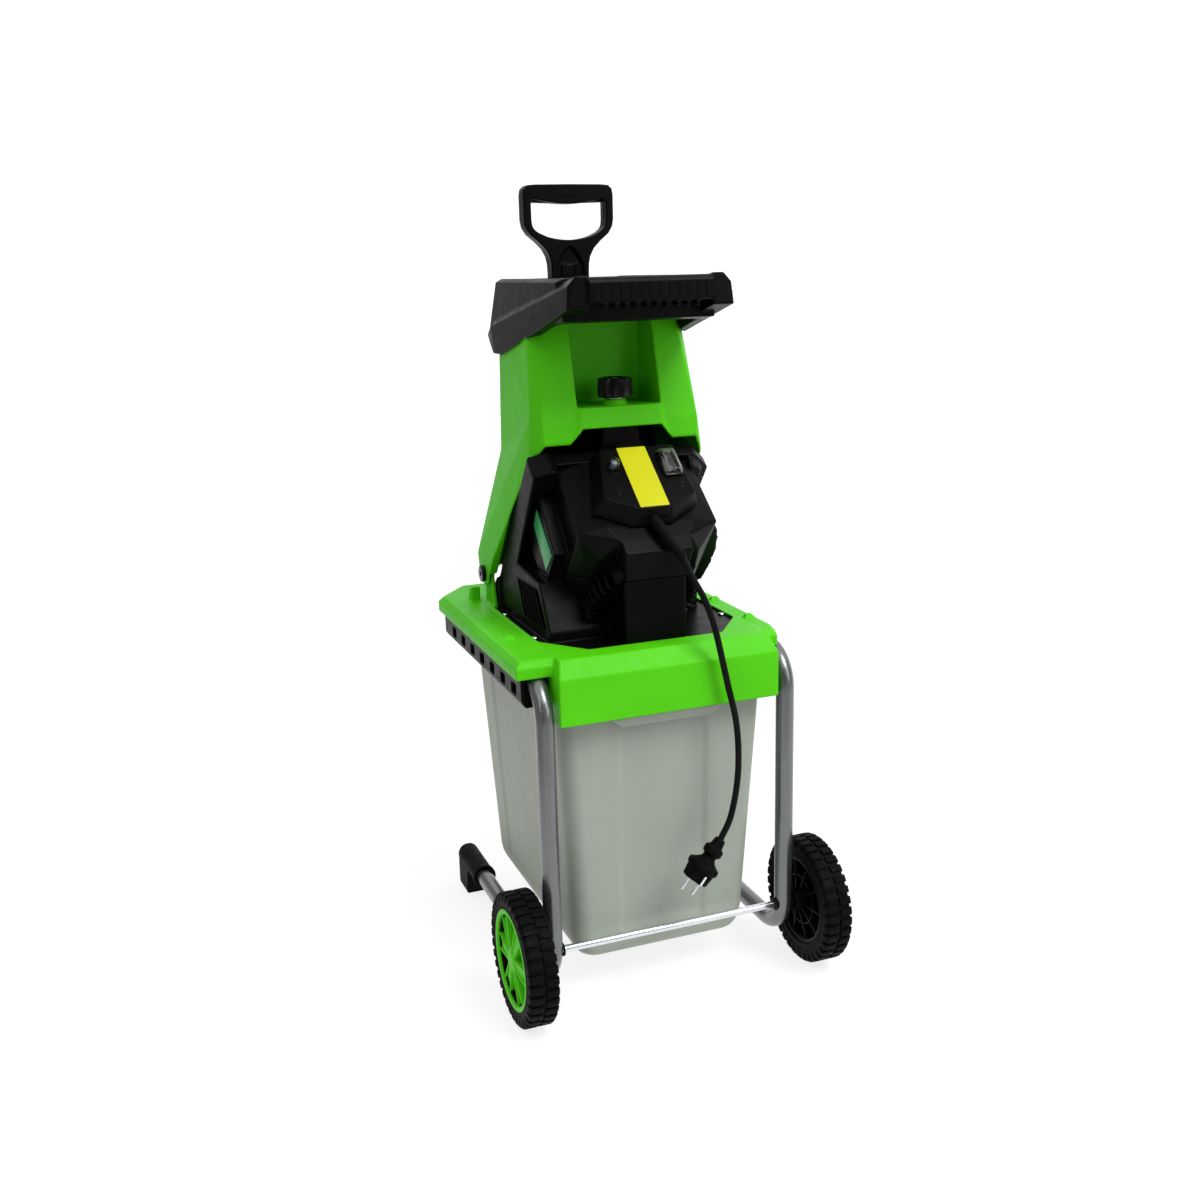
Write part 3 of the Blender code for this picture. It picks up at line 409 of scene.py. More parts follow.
def bump(nt, height, strength, distance, normal=None):
    b = nt.nodes.new("ShaderNodeBump")
    b.inputs["Strength"].default_value = strength
    b.inputs["Distance"].default_value = distance
    nt.links.new(height, b.inputs["Height"])
    if normal is not None:
        nt.links.new(normal, b.inputs["Normal"])
    return b.outputs["Normal"]


def scaled(colour, k):
    return tuple(min(1.0, c * k) for c in colour)


def moulded_plastic(name, colour, rough=0.4, grain=900.0, grain_depth=0.00006, vary=0.05, coat=0.0, spec=0.5, sss=0.0):
    """Injection-moulded plastic: fine spark-eroded grain, faint flow clouds and small gloss changes."""
    m, nt, b = new_material(name)
    cloud = noise(nt, 9.0, 3.0)
    nt.links.new(ramp(nt, cloud, [(0.35, scaled(colour, 1 - vary)), (0.65, scaled(colour, 1 + vary))]), b.inputs["Base Color"])
    nt.links.new(span(nt, noise(nt, 60.0, 3.0), rough - 0.05, rough + 0.06), b.inputs["Roughness"])
    nt.links.new(bump(nt, noise(nt, grain, 2.0), 0.5, grain_depth, bump(nt, noise(nt, 28.0, 2.0), 0.25, 0.0003)), b.inputs["Normal"])
    b.inputs["Specular IOR Level"].default_value = spec
    if coat:
        b.inputs["Coat Weight"].default_value = coat
        b.inputs["Coat Roughness"].default_value = 0.25
    if sss:
        b.inputs["Subsurface Weight"].default_value = sss
        b.inputs["Subsurface Radius"].default_value = (0.6, 1.0, 0.5)
        b.inputs["Subsurface Scale"].default_value = 0.004
    return m


def rubber(name, colour, rough=0.62, grain=500.0):
    m, nt, b = new_material(name)
    nt.links.new(ramp(nt, noise(nt, 45.0, 5.0), [(0.3, scaled(colour, 0.75)), (0.7, scaled(colour, 1.5))]), b.inputs["Base Color"])
    nt.links.new(span(nt, noise(nt, 120.0, 3.0), rough - 0.1, rough + 0.12), b.inputs["Roughness"])
    nt.links.new(bump(nt, noise(nt, grain, 3.0), 0.6, 0.00012), b.inputs["Normal"])
    b.inputs["Specular IOR Level"].default_value = 0.07
    return m


def metal(name, colour, rough=0.3, metallic=1.0, stretch=(1, 1, 1), scale=300.0, depth=0.00002, vary=0.08, coat=0.0):
    m, nt, b = new_material(name)
    nt.links.new(ramp(nt, noise(nt, 25.0, 4.0), [(0.3, scaled(colour, 1 - vary)), (0.7, scaled(colour, 1 + vary))]), b.inputs["Base Color"])
    nt.links.new(span(nt, noise(nt, scale, 3.0, stretch=stretch), rough - 0.06, rough + 0.08), b.inputs["Roughness"])
    nt.links.new(bump(nt, noise(nt, scale, 3.0, stretch=stretch), 0.4, depth), b.inputs["Normal"])
    b.inputs["Metallic"].default_value = metallic
    if coat:
        b.inputs["Coat Weight"].default_value = coat
        b.inputs["Coat Roughness"].default_value = 0.15
    return m


MAT = {
    "green": moulded_plastic("lime_plastic", (0.078, 0.545, 0.003), 0.46, grain=700, vary=0.035, sss=0.0, spec=0.13),
    "black": moulded_plastic("black_plastic", (0.0018, 0.0019, 0.0017), 0.36, grain=850, grain_depth=0.00006, vary=0.15, spec=0.062),
    "gloss": moulded_plastic("gloss_black_plastic", (0.003, 0.003, 0.003), 0.16, grain=300, grain_depth=0.00002, vary=0.15, spec=0.22),
    "rubber": rubber("tyre_rubber", (0.0016, 0.0016, 0.0016)),
    "cord": rubber("cord_rubber", (0.0042, 0.0042, 0.0045), 0.45, 900.0),
    "tube": metal("silver_paint", (0.165, 0.171, 0.173), 0.27, 0.85, stretch=(1, 1, 0.05), scale=500, vary=0.05, coat=0.25),
    "zinc": metal("bright_zinc", (0.72, 0.75, 0.78), 0.16, 1.0, stretch=(0.05, 1, 1), scale=600, vary=0.04),
    "steel": metal("ground_steel", (0.55, 0.56, 0.57), 0.32, 1.0, scale=500),
    "core": metal("lamination_steel", (0.20, 0.19, 0.18), 0.5, 0.9, stretch=(1, 1, 1), scale=300, vary=0.2),
    "copper": metal("commutator_copper", (0.70, 0.32, 0.16), 0.3, 1.0, scale=400),
    "nylon": moulded_plastic("natural_nylon", (0.55, 0.52, 0.43), 0.45, vary=0.06),
    "yellow": moulded_plastic("yellow_film", (0.56, 0.56, 0.006), 0.38, grain=400, grain_depth=0.00002, vary=0.03, spec=0.16),
    "plate": moulded_plastic("green_film", (0.040, 0.33, 0.10), 0.30, grain=400, grain_depth=0.00002, vary=0.08, spec=0.3),
    "lens": moulded_plastic("smoke_blue_plastic", (0.20, 0.25, 0.30), 0.15, grain=300, grain_depth=0.00002, vary=0.2, spec=0.5),
    "print": moulded_plastic("pale_mark", (0.22, 0.22, 0.22), 0.5, vary=0.05),
}


def milky():
    """Natural polypropylene: pale, a little see-through, waxy."""
    m, nt, b = new_material("milky_plastic")
    base = (0.330, 0.360, 0.312)
    nt.links.new(ramp(nt, noise(nt, 7.0, 4.0, stretch=(1, 1, 0.35)), [(0.3, scaled(base, 0.94)), (0.7, scaled(base, 1.05))]), b.inputs["Base Color"])
    nt.links.new(span(nt, noise(nt, 50.0, 3.0), 0.42, 0.55), b.inputs["Roughness"])
    nt.links.new(bump(nt, noise(nt, 700.0, 2.0), 0.4, 0.00006, bump(nt, noise(nt, 14.0, 2.0, stretch=(1, 1, 0.3)), 0.3, 0.0006)), b.inputs["Normal"])
    b.inputs["Subsurface Weight"].default_value = 0.35
    b.inputs["Subsurface Radius"].default_value = (1.0, 1.0, 0.9)
    b.inputs["Subsurface Scale"].default_value = 0.006
    b.inputs["Specular IOR Level"].default_value = 0.2
    return m


def clear():
    """Clear flexible PVC cap, a little smoky."""
    m, nt, b = new_material("clear_cover")
    nt.links.new(ramp(nt, noise(nt, 40.0, 2.0), [(0.3, (0.78, 0.79, 0.77)), (0.7, (0.88, 0.89, 0.87))]), b.inputs["Base Color"])
    nt.links.new(bump(nt, noise(nt, 120.0, 2.0), 0.5, 0.0002), b.inputs["Normal"])
    b.inputs["Roughness"].default_value = 0.1
    b.inputs["Transmission Weight"].default_value = 1.0
    b.inputs["IOR"].default_value = 1.18
    return m


MAT["bin"] = milky()
MAT["clear"] = clear()


def keep(o, name, mat, body, *replaced, sharp=40):
    """Names a finished piece, shades it, and puts it on its body in place of CAD nodes."""
    o.name = name
    o.data.name = name
    o.data.materials.clear()
    o.data.materials.append(MAT[mat])
    o.data.shade_smooth()
    if sharp:
        o.data.set_sharp_from_angle(angle=math.radians(sharp))
    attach(o, body)
    if replaced:
        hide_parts(*replaced)
    return o


# ================================================================ frame, axle, feet
def tube_path(x, extra=0.0, n=18):
    pts = [P(x, 428 + extra, RUN_TOP_Z)]
    for i in range(n + 1):
        a = math.radians(90 * i / n)
        pts.append(P(x, BEND_R - BEND_R * math.sin(a), RUN_TOP_Z - BEND_R + BEND_R * math.cos(a)))
    for i in range(n + 1):
        a = math.radians(90 * i / n)
        pts.append(P(x, BEND_R - BEND_R * math.cos(a), RUN_LOW_Z + BEND_R - BEND_R * math.sin(a)))
    pts.append(P(x, 430, RUN_LOW_Z))
    return pts


for side, name in ((-1, "left"), (1, "right")):
    keep(pipe(tube_path(side * TUBE_X), TUBE_R, 48), "tube_" + name, "tube", "base", "frame_tube_" + name)
    # bush where the axle goes through the tube
    keep(turned(rounded([(5.6, 0), (9.2, 0), (9.2, 2.2), (5.6, 2.2)], 0.5), P(side * (TUBE_X - 14.2), 0, WHEEL_R), (side, 0, 0), 40),
         f"axle_bush_inner_{name}", "black", "base")
    keep(turned(rounded([(5.6, 0), (9.2, 0), (9.2, 2.2), (5.6, 2.2)], 0.5), P(side * (TUBE_X + 12.2), 0, WHEEL_R), (side, 0, 0), 40),
         f"axle_bush_outer_{name}", "black", "base")
keep(rod(P(-228.5, 0, WHEEL_R), P(228.5, 0, WHEEL_R), AXLE_R, sides=48, bevel=0.6), "axle_rod", "zinc", "base", "wheel_axle")

for side, name in ((-1, "left"), (1, "right")):
    x = side * TUBE_X
    foot = rod(P(x, 338, RUN_LOW_Z), P(x, 437, RUN_LOW_Z), 16.5, sides=64)
    ring = rod(P(x, 337, RUN_LOW_Z), P(x, 345, RUN_LOW_Z), 18.2, sides=64)
    pad = hull([P(x + i * 17, y, z) for i in (-1, 1) for y in (385, 434) for z in (0, 9)] +
               [P(x + i * 15.9, y, RUN_LOW_Z) for i in (-1, 1) for y in (383, 437)])
    foot = join(foot, ring, pad)
    foot = cut(foot, rod(P(x, 330, RUN_LOW_Z), P(x, 430.5, RUN_LOW_Z), TUBE_R + 0.3, sides=48))
    keep(soften(foot, 1.1, 6, 0.35), "foot_boot_" + name, "rubber", "base", "foot_" + name, sharp=0)

# ================================================================ wheels
W = WHEEL_OUT - WHEEL_IN
TREAD_SIDE = [(19.0, 89.6), (3.6, 89.6), (0.6, 86.6), (-0.2, 79.0), (2.5, 77.5), (6.0, 83.5), (19.0, 84.5)]   # (axial from outer face, r)


def tread_block(at, side, angle, outer, half):
    """One tread block, wrapped over the tyre's shoulder."""
    ring = []
    for d, r in TREAD_SIDE:
        h = (W - d - 0.4) if outer else (d + 0.4)
        k = half * (1.0 if r > 85 else 1.07)
        for a in (angle - k, angle + k):
            ring.append((h, r, a))
    bm = bmesh.new()
    n = len(TREAD_SIDE)
    lo, hi = [], []
    for i in range(n):
        for j, lst in ((0, lo), (1, hi)):
            h, r, a = ring[2 * i + j]
            lst.append(bm.verts.new(at + Vector((side * h * MM, r * MM * math.cos(a), r * MM * math.sin(a)))))
    bm.faces.new(lo)
    bm.faces.new(list(reversed(hi)))
    for i in range(n):
        k = (i + 1) % n
        bm.faces.new((lo[k], lo[i], hi[i], hi[k]))
    bmesh.ops.recalc_face_normals(bm, faces=bm.faces)
    bmesh.ops.bevel(bm, geom=list(bm.edges), offset=0.7 * MM, segments=2, affect="EDGES", profile=0.5, clamp_overlap=True)
    return bm


for side, name in ((-1, "left"), (1, "right")):
    at = P(side * WHEEL_IN, 0, WHEEL_R)
    carcass = turned(rounded([(60.5, W - 5), (64, W - 1.6), (70, W - 1.6), (72, W - 2.6), (74, W - 1.2), (82, W - 1.6), (86.4, W - 6),
                              (86.4, 6), (82, 1.6), (74, 1.2), (72, 2.6), (70, 1.6), (64, 1.6), (60.5, 5)], 1.2, 3), at, (side, 0, 0), 144)
    bm = bmesh.new()
    bm.from_mesh(carcass.data)
    bpy.data.objects.remove(carcass)
    COUNT = 36
    for k in range(COUNT):
        for outer in (True, False):
            a = 2 * math.pi * (k + (0.0 if outer else 0.5)) / COUNT
            t = tread_block(at, side, a, outer, 0.0545)
            me = bpy.data.meshes.new("t")
            t.to_mesh(me)
            t.free()
            bm.from_mesh(me)
            bpy.data.meshes.remove(me)
    # moulded ribs on both side walls
    tyre = from_bmesh(bm, False)
    keep(tyre, "tyre_" + name, "rubber", "wheel_" + name, "wheel_" + name)
    # wheel disc and inner rim
    disc = turned(rounded([(5.4, W - 11), (14.5, W - 11), (14.5, W - 15), (56, W - 15), (58, W - 6), (62, W - 4.2), (62, 4.2), (57.5, 5.2),
                           (55.5, 9), (55, 17), (17, 17), (14, -6.3), (5.4, -6.3)], 0.9, 3), at, (side, 0, 0), 96)
    pieces = [disc]
    for k in range(10):
        a = 2 * math.pi * k / 10
        u, v = Vector((0, math.cos(a), math.sin(a))), Vector((0, -math.sin(a), math.cos(a)))
        pieces.append(hull([at + Vector((side * h * MM, 0, 0)) + u * r * MM + v * w * MM
                            for h, r in ((17.5, 14), (17.5, 56.5), (3.2, 14.2), (7.4, 56.6)) for w in (-1.4, 1.4)], 0.5, 2))
    pieces.append(turned(rounded([(34, 17.4), (36.5, 17.4), (36.5, 6.5), (34, 6.5)], 0.6, 3), at, (side, 0, 0), 96))
    keep(merged(*pieces), "wheel_disc_" + name, "black", "wheel_" + name)
    # green trim: rim ring, six spokes with raised edges, and the hub
    cap = [turned(rounded([(60.2, W - 9), (60.8, W - 2.2), (63.5, W - 1.0), (67.2, W - 1.4), (67.2, W - 3.0), (62.0, W - 5), (61.6, W - 13.0),
                           (58.5, W - 13.0)], 0.5, 3), at, (side, 0, 0), 120),
           turned(rounded([(3.0, W - 5.6), (0.01, W - 1.0), (11.5, W - 1.2), (15.6, W - 3.4), (17.6, W - 8), (18.4, W - 13.0), (3.0, W - 13.0)],
                          0.6, 3), at, (side, 0, 0), 96)]
    for k in range(6):
        a0 = math.radians(60 * k)
        u, v = Vector((0, math.cos(a0), math.sin(a0))), Vector((0, -math.sin(a0), math.cos(a0)))

        def Q(h, r, w):
            return at + Vector((side * h * MM, 0, 0)) + u * r * MM + v * w * MM
        # a broad web between two proud edges, widening to the rim
        cap.append(hull([Q(W - h, r, sg * w) for r, w, h in ((13, 5.5, 3.6), (13, 5.5, 7.5), (60.4, 11.5, 7.6), (60.4, 11.5, 11.5)) for sg in (-1, 1)], 0.5, 2))
        for sg in (-1, 1):
            cap.append(hull([Q(W - h, r, sg * (w + d)) for r, w, h in ((14, 4.6, 2.6), (14, 4.6, 12.5), (61.0, 10.6, 4.2), (61.0, 10.6, 12.8))
                             for d in (0, 2.4)], 0.5, 2))
    # floor between the spokes, well behind them
    cap.append(turned(rounded([(18, W - 12.6), (58.8, W - 12.6), (58.8, W - 14.2), (18, W - 14.2)], 0.3, 2), at, (side, 0, 0), 96))
    keep(merged(*cap), "wheel_trim_" + name, "green", "wheel_" + name, "hub_cap_" + name)
    keep(turned(rounded([(5.3, 2.0), (9, 2.6), (12, 0.9), (12, 0.4), (5.3, 0.4)], 0.25), P(side * (WHEEL_OUT - 10), 0, WHEEL_R), (side, 0, 0), 36),
         "axle_clip_" + name, "steel", "base", "push_nut_" + name)


# ================================================================ base collar
def rings(levels, x0=0.0):
    return hull([P(sx * x, y, z) for z, ring in levels for x, y in ring for sx in (-1, 1)])


body = rings([
    (434, [(156, -13.5), (156, 478)]), (469, [(156, -13.5), (156, 479)]), (TOP_Z, [(149, 5), (149, 462)])])
skirt = rings([(SKIRT_Z, [(156, -13.5), (156, 26)]), (440, [(156, -13.5), (156, 26)])])
ledge = hull([P(x, y, z) for z in (466, 481) for x, y in ((-203, 18), (-203, 418), (-156, 479), (172, 20), (181, 42), (181, 418), (156, 479))] +
             [P(x, y, 489.5) for x, y in ((-195, 26), (-195, 413), (-150, 468), (166, 28), (174.5, 48), (174.5, 413), (150, 468))])
collar = join(body, skirt, ledge)
collar = cut(
    collar,
    rings([(400, [(153, -10.5), (153, 476)]), (468, [(153, -10.5), (153, 476)]), (TOP_Z - 3.5, [(147, 5), (147, 460)])]))
collar = cut(collar, hull([P(-x, y, z) for z in (460, 479) for x, y in ((157, 21.5), (200, 21.5), (200, 416), (157, 471))] +
                          [P(-x, y, 485.6) for x, y in ((157, 29), (192.5, 29), (192.5, 411), (157, 458))]),
             hull([P(x, y, z) for z in (460, 479) for x, y in ((157, 24), (169, 24), (178, 44), (178, 416), (157, 471))] +
                  [P(x, y, 485.6) for x, y in ((157, 32), (164, 32), (171.5, 50), (171.5, 411), (157, 458))]))
OPENING = [(95.5, 37), (145, 102), (145, 306), (135, 314), (135, 362), (105, 386)]
collar = cut(collar, outline([(x, y - Y_MID) for x, y in OPENING] + [(-x, y - Y_MID) for x, y in reversed(OPENING)],
                             Matrix.Translation(Vector((0, 0, 490 * MM))), 12))
for side in (-1, 1):
    collar = cut(collar, pipe(tube_path(side * TUBE_X, 20)[:22], TUBE_R + 0.9, 40))
    ear = join(hull([P(side * x, y, z) for x in (139.2, 144.4) for y, z in ((306, 487.8), (353, 487.8), (353, 530), (317, 530))]),
               rod(P(side * 139.2, HINGE_Y, HINGE_Z), P(side * 144.4, HINGE_Y, HINGE_Z), 17.5, sides=64))
    stop = hull([P(side * x, y, z) for x in (151.8, 166) for y, z in ((356, 485), (380, 485), (356, 512), (366, 512))])
    collar = join(collar, ear, stop)
    collar = cut(collar, rod(P(side * 130, HINGE_Y, HINGE_Z), P(side * 150, HINGE_Y, HINGE_Z), 6.4, sides=40))
    for y in (135, 245) if side < 0 else (92, 203):
        # a small wedge, steep on one side
        q0 = 0 if side < 0 else -11
        collar = join(collar, hull([P(side * (x + q0), y + d, 487) for x, d in ((166, -8), (166, 6), (187, 10), (187, -4))] +
                                   [P(side * (x + q0), y + d, 495.0) for x, d in ((170, -3), (171, 3), (181, 5), (180, -1))]))
collar = cut(collar, block(-16.5, 16.5, 470, 486, 428, 459))
keep(soften(collar, 1.5, 7, 0.22), "collar", "green", "base", "base_collar", sharp=0)

# ================================================================ side rails
for side, name in ((-1, "left"), (1, "right")):
    y0 = 30 if side < 0 else 72
    rail = hull([P(side * x, y, z) for x, y, z in (
        (158, y0, 424), (188, y0, 424), (193.5, y0, 432), (193.5, y0, 465.4), (158, y0, 465.4),
        (158, 426, 424), (188, 426, 424), (193.5, 420, 432), (193.5, 420, 465.4), (158, 426, 465.4))])
    lip = block(*sorted((side * 151.5, side * 160)), y0 + 4, 424, 418.5, 426.5)
    rail = join(rail, lip)
    # upper flange that carries the collar's ledge
    rail = cut(rail, pipe(tube_path(side * TUBE_X, 40)[:22], TUBE_R + 0.5, 32),
               block(*sorted((side * (TUBE_X - TUBE_R - 0.5), side * (TUBE_X + TUBE_R + 0.5))), 20, 460, RUN_TOP_Z, 470))
    for y in (54, 104, 154, 204, 254, 304, 354) if side < 0 else (104, 154, 204, 254, 304, 354):
        rail = cut(rail, hull([P(side * x, y + d, z) for x in (187, 200) for d in (0, 19) for z in (436, 450)] +
                              [P(side * 184.5, y + d, z) for d in (2, 17) for z in (438, 448)]))
        rail = cut(rail, hull([P(side * x, y + 24 + d, z) for x in (190.5, 200) for d in (0, 19) for z in (428, 431.5)]))
    keep(soften(rail, 1.3, 4, 0.3), "rail_" + name, "black", "base", "side_rail_" + name, sharp=0)


# ================================================================ cutter housing and motor
def slab(s0, s1, ring, inset=0.0):
    pts = []
    for s in (s0, s1):
        for x, t in ring:
            tt = t - math.copysign(inset, t)
            pts += [M(x - inset, s, tt), M(inset - x, s, tt)]
    return hull(pts)


SLAB_IN = [(112, 110), (134, 104), (134, -84), (112, -107)]


def side_pod(side, inset=0.0):
    i = inset
    return hull([M(side * x, s, t) for x in (94, 120 - i) for s, t in (
        (30 + i, 66.5 - i), (124 - i, 50.5 - i), (30 + i, -16 + i), (124 - i, -28 + i))])
DRUM = [
    (20, [(62, 111), (99, 98.5), (99, -36), (60, -95)]),
    (134, [(62, 109), (99, 99.5), (99, -44), (60, -95)]),
    (158, [(49, 106.6), (72, 70), (78, 20), (74, -40), (48, -72)]),
]


def drum(inset=0.0, ends=(0.0, 0.0)):
    pts = []
    for i, (s, ring) in enumerate(DRUM):
        s += ends[0] if i == 0 else (-ends[1] if i == len(DRUM) - 1 else 0)
        for x, t in ring:
            tt = t - math.copysign(inset, t) * (1 if abs(t) > 25 else 0)
            pts += [M(x - inset, s, tt), M(inset - x, s, tt)]
    return hull(pts)


def nose(inset=0.0):
    """The raised end below the cord, falling to the box that stands on the deck."""
    i = inset
    return hull([M(sx * (49 - i), 120, 106.6 - i) for sx in (-1, 1)] + [M(sx * (49 - i), 158, 106.6 - i) for sx in (-1, 1)] +
                [M(sx * (48 - i), 179 - i, 103.6 - i) for sx in (-1, 1)] + [P(sx * (43 - i), 35 + i, 575) for sx in (-1, 1)] +
                [M(sx * (43 - i), 150, -10) for sx in (-1, 1)] + [M(sx * (43 - i), 120, -10) for sx in (-1, 1)])


def can(inset=0.0):
    """The round end of the motor's air outlet."""
    return join(rod(M(0, 120, 0), M(0, 150 - inset, 0), 71 - inset, sides=72), rod(M(0, 120, 0), M(0, 181 - inset, 0), 62 - inset, sides=72))


BELOW = lambda lo=484: block(-250, 250, -80, 520, lo, SPLIT_Z)
ABOVE = lambda: block(-250, 250, -100, 420, SPLIT_Z + 0.15, 950)
LOWER = [(130.5, 94, 484), (130.5, 94, 501), (132, 131, 563), (134, 236, 563), (134, 276, 580), (134, 350.5, 489), (134, 350.5, 484)]
lower = join(hull([P(x, y, z) for a, y, z in LOWER for x in (-a, 56)]),
             hull([P(x, max(y, 190), z) for a, y, z in LOWER for x in (50, a)]))
swell = hull([M(x, s, t) for s in (64, 128) for x, t in ((92, 78), (111, 72), (121, 32), (122, 0), (118, -36), (92, -44))])
barrel = join(drum(), nose(), can(), side_pod(-1), side_pod(1), swell)
barrel_low = barrel.copy()
barrel_low.data = barrel.data.copy()
link(barrel_low)
support = block(-44, 44, 38, 140, 484, SPLIT_Z)
deck_ring = [(99, 28), (147, 98), (147, 392)]
deck = outline([(x, y - Y_MID) for x, y in deck_ring] + [(-x, y - Y_MID) for x, y in reversed(deck_ring)],
               Matrix.Translation(Vector((0, 0, 484 * MM))), 3)
RIGHT = [(106, 110), (134, 80), (134, -84), (112, -107)]


def two_sided(s0, s1, i=0.0):
    """The slab with its right upper corner cut back."""
    return hull([M(-(x - i), s, t - math.copysign(i, t)) for s in (s0, s1) for x, t in SLAB_IN] +
                [M(x - i, s, t - math.copysign(i, t)) for s in (s0, s1) for x, t in RIGHT])


housing = join(two_sided(0, 20), lower, common(barrel_low, BELOW(487)), support, deck)
for side in (-1,):        # corner block and deep side rim
    housing = join(housing, hull([M(side * x, s, t) for s, up, out in ((0, 1.2, 0), (37, 0, 0)) for x, t in (
        (98, 110 + up), (107, 115 + up), (133.2, 107 + up), (134, 103), (134, 55), (121, 55), (98, 84))]),
        hull([M(side * x, s, t) for x in (127.5, 134) for s, t in ((0, 104), (37, 104), (50, -75), (0, -84))]))
# on the right a smaller corner, and a rim only lower down
housing = join(housing, hull([M(x, s, t) for s, ring in ((0, [(98, 110), (106, 110), (134, 80), (134, 52), (98, 70)]), (37, [(92, 106), (97, 106), (114, 92), (114, 74), (92, 74)]))
                              for x, t in ring]),
               hull([M(x, s, t) for x in (127.5, 134) for s, t in ((0, 22), (34, 22), (50, -75), (0, -84))]))
for side in (-1, 1):        # the slab's foot on each side, and its run into the lower block
    housing = join(housing, hull([M(side * x, s, t) for x in (100, 134) for s in (0, 20) for t in (-80, -120)]),
                   hull([P(side * x, y, z) for x in (131, 138.2) for y, z in ((296, 487.3), (330, 487.3), (330, 519), (314, 534), (303, 534))]))
# knob bracket above the slab's top edge
bracket = hull([P(sx * x, y, z) for sx in (-1, 1) for x, y, z in (
    (29, 148, 700), (29, 178, 690), (26, 150, 770), (26, 184, 770), (29, 184, 700))])
housing = cut(
    housing, two_sided(-2, 18, 3.5),
    hull([P(sx * x, y, z) for sx in (-1, 1) for x, y, z in (
        (100, 200, 474), (100, 298, 474), (100, 298, 514), (100, 284, 562), (100, 239, 596))]),
    hull([P(sx * 130, y, z) for sx in (-1, 1) for y, z in ((303, 474), (345, 474), (345, 488), (303, 538))]),
    slab(-60, -0.2, [(190, 190), (190, -190)]))
housing = cut(join(housing, bracket), slab(-40, -0.4, [(60, 104), (60, -104)]),
              hull([P(sx * 4.9, y, z) for sx in (-1, 1) for y in (KNOB_Y - 4.9, 200) for z in (738, 790)]))
inside = join(drum(3.2, (3.5, 3.5)), nose(3.2), can(3.2), side_pod(-1, 3), side_pod(1, 3))
inside_low = inside.copy()
inside_low.data = inside.data.copy()
link(inside_low)
room = common(join(hull([P(x, y, z) for x in (-127, 52) for y, z in ((102, 490), (192, 490), (216, 558), (136, 558))]), inside_low,
    block(-41, 41, 41.5, 140, 490, SPLIT_Z + 2)), block(-200, 200, -60, 500, 490, SPLIT_Z + 2))
room = cut(room, hull([P(sx * 140, y, z) for sx in (-1, 1) for y, z in ((194, 470), (320, 470), (320, 600), (234, 600))]))
housing = cut(housing, room)
housing = cut(housing, rod(M(0, -3, 0), M(0, 16.5, 0), 88, sides=64))        # the knives' sweep
housing = join(housing, rod(M(0, 17, 0), M(0, 33, 0), 20, sides=48))
housing = cut(housing, rod(M(0, 20, 0), M(0, 40, 0), 14.4, sides=48), rod(M(0, 10, 0), M(0, 22, 0), 9, sides=48))
# slanted slots of the side vent in the left panel, with a raised edge to each
for k in range(6):
    y = 110 + 15.0 * k
    housing = cut(housing, hull([P(-x, y + dy + lean, z) for x in (118, 140) for dy in (0, 7.5)
                                 for z, lean in ((502, 0), (551, 27))]))
for k in range(6):
    y = 110 + 15.0 * k + 7.4
    housing = join(housing, hull([P(-(x + out), y + dy + lean, z) for x, out in ((129.5, 0), (133.4, 1.2)) for dy in (0, 2.6)
                                  for z, lean in ((500, -1), (553, 28))]))
keep(soften(housing, 1.4, 5, 0.26), "housing", "black", "base", "cutter_housing", sharp=0)

cover = cut(common(barrel, ABOVE()), slab(-60, 20.6, [(190, 190), (190, -190)]))
cover = cut(cover, inside)
keep(soften(cover, 1.3, 5, 0.26), "motor_shell", "black", "base", "motor_cover", sharp=0)
# fins of the air outlets, on both sides of the nose
fins = []
for side in (-1, 1):
    for k in range(11):
        wide = k == 0
        a = math.radians(46.0 - 8.6 * k) if not wide else math.radians(51)
        hw = math.radians(5.6 if wide else 1.25)
        r0, r1 = 58.0, 80.5 if wide else 79.0
        pts = []
        for s, r in ((148, r1 - 3), (152, r1), (184, r1), (187, r1 - 3.5), (148, r0), (187, r0)):
            for w in (-hw, hw):
                pts.append(M(side * r * math.cos(a + w), s, r * math.sin(a + w)))
        fins.append(hull(pts, 0.5, 2))
keep(merged(*fins), "outlet_fins", "black", "base")
keep(hull([M(x, s, t) for x in (-120.2, -121.2) for s, t in ((41, 47.5), (119.5, 42.5), (115, 6.5), (45, 19))], 0.3),
     "side_plate", "plate", "base", "rating_plate")


# ================================================================ switch box, label, switches
BOX_TOP = 138.0
TOP_RING = [(24, -43), (111, -64), (132, -24), (132, 24), (111, 64), (24, 61)]
LOW_RING = [(14, -50), (112, -76), (140, -29), (140, 29), (112, 76), (14, 70)]
SW_X, SW_S = 44.0, 60.0
UP = M(0, 0, 1) - M(0, 0, 0)


def on_box(x0, x1, s0, s1, t0, t1, bevel=0.0, seg=3):
    return hull([M(x, s, t) for x in (x0, x1) for s in (s0, s1) for t in (t0, t1)], bevel, seg)


outer = hull([M(x, s, BOX_TOP) for s, x in TOP_RING] + [M(x, s, 110.6) for s, x in LOW_RING])
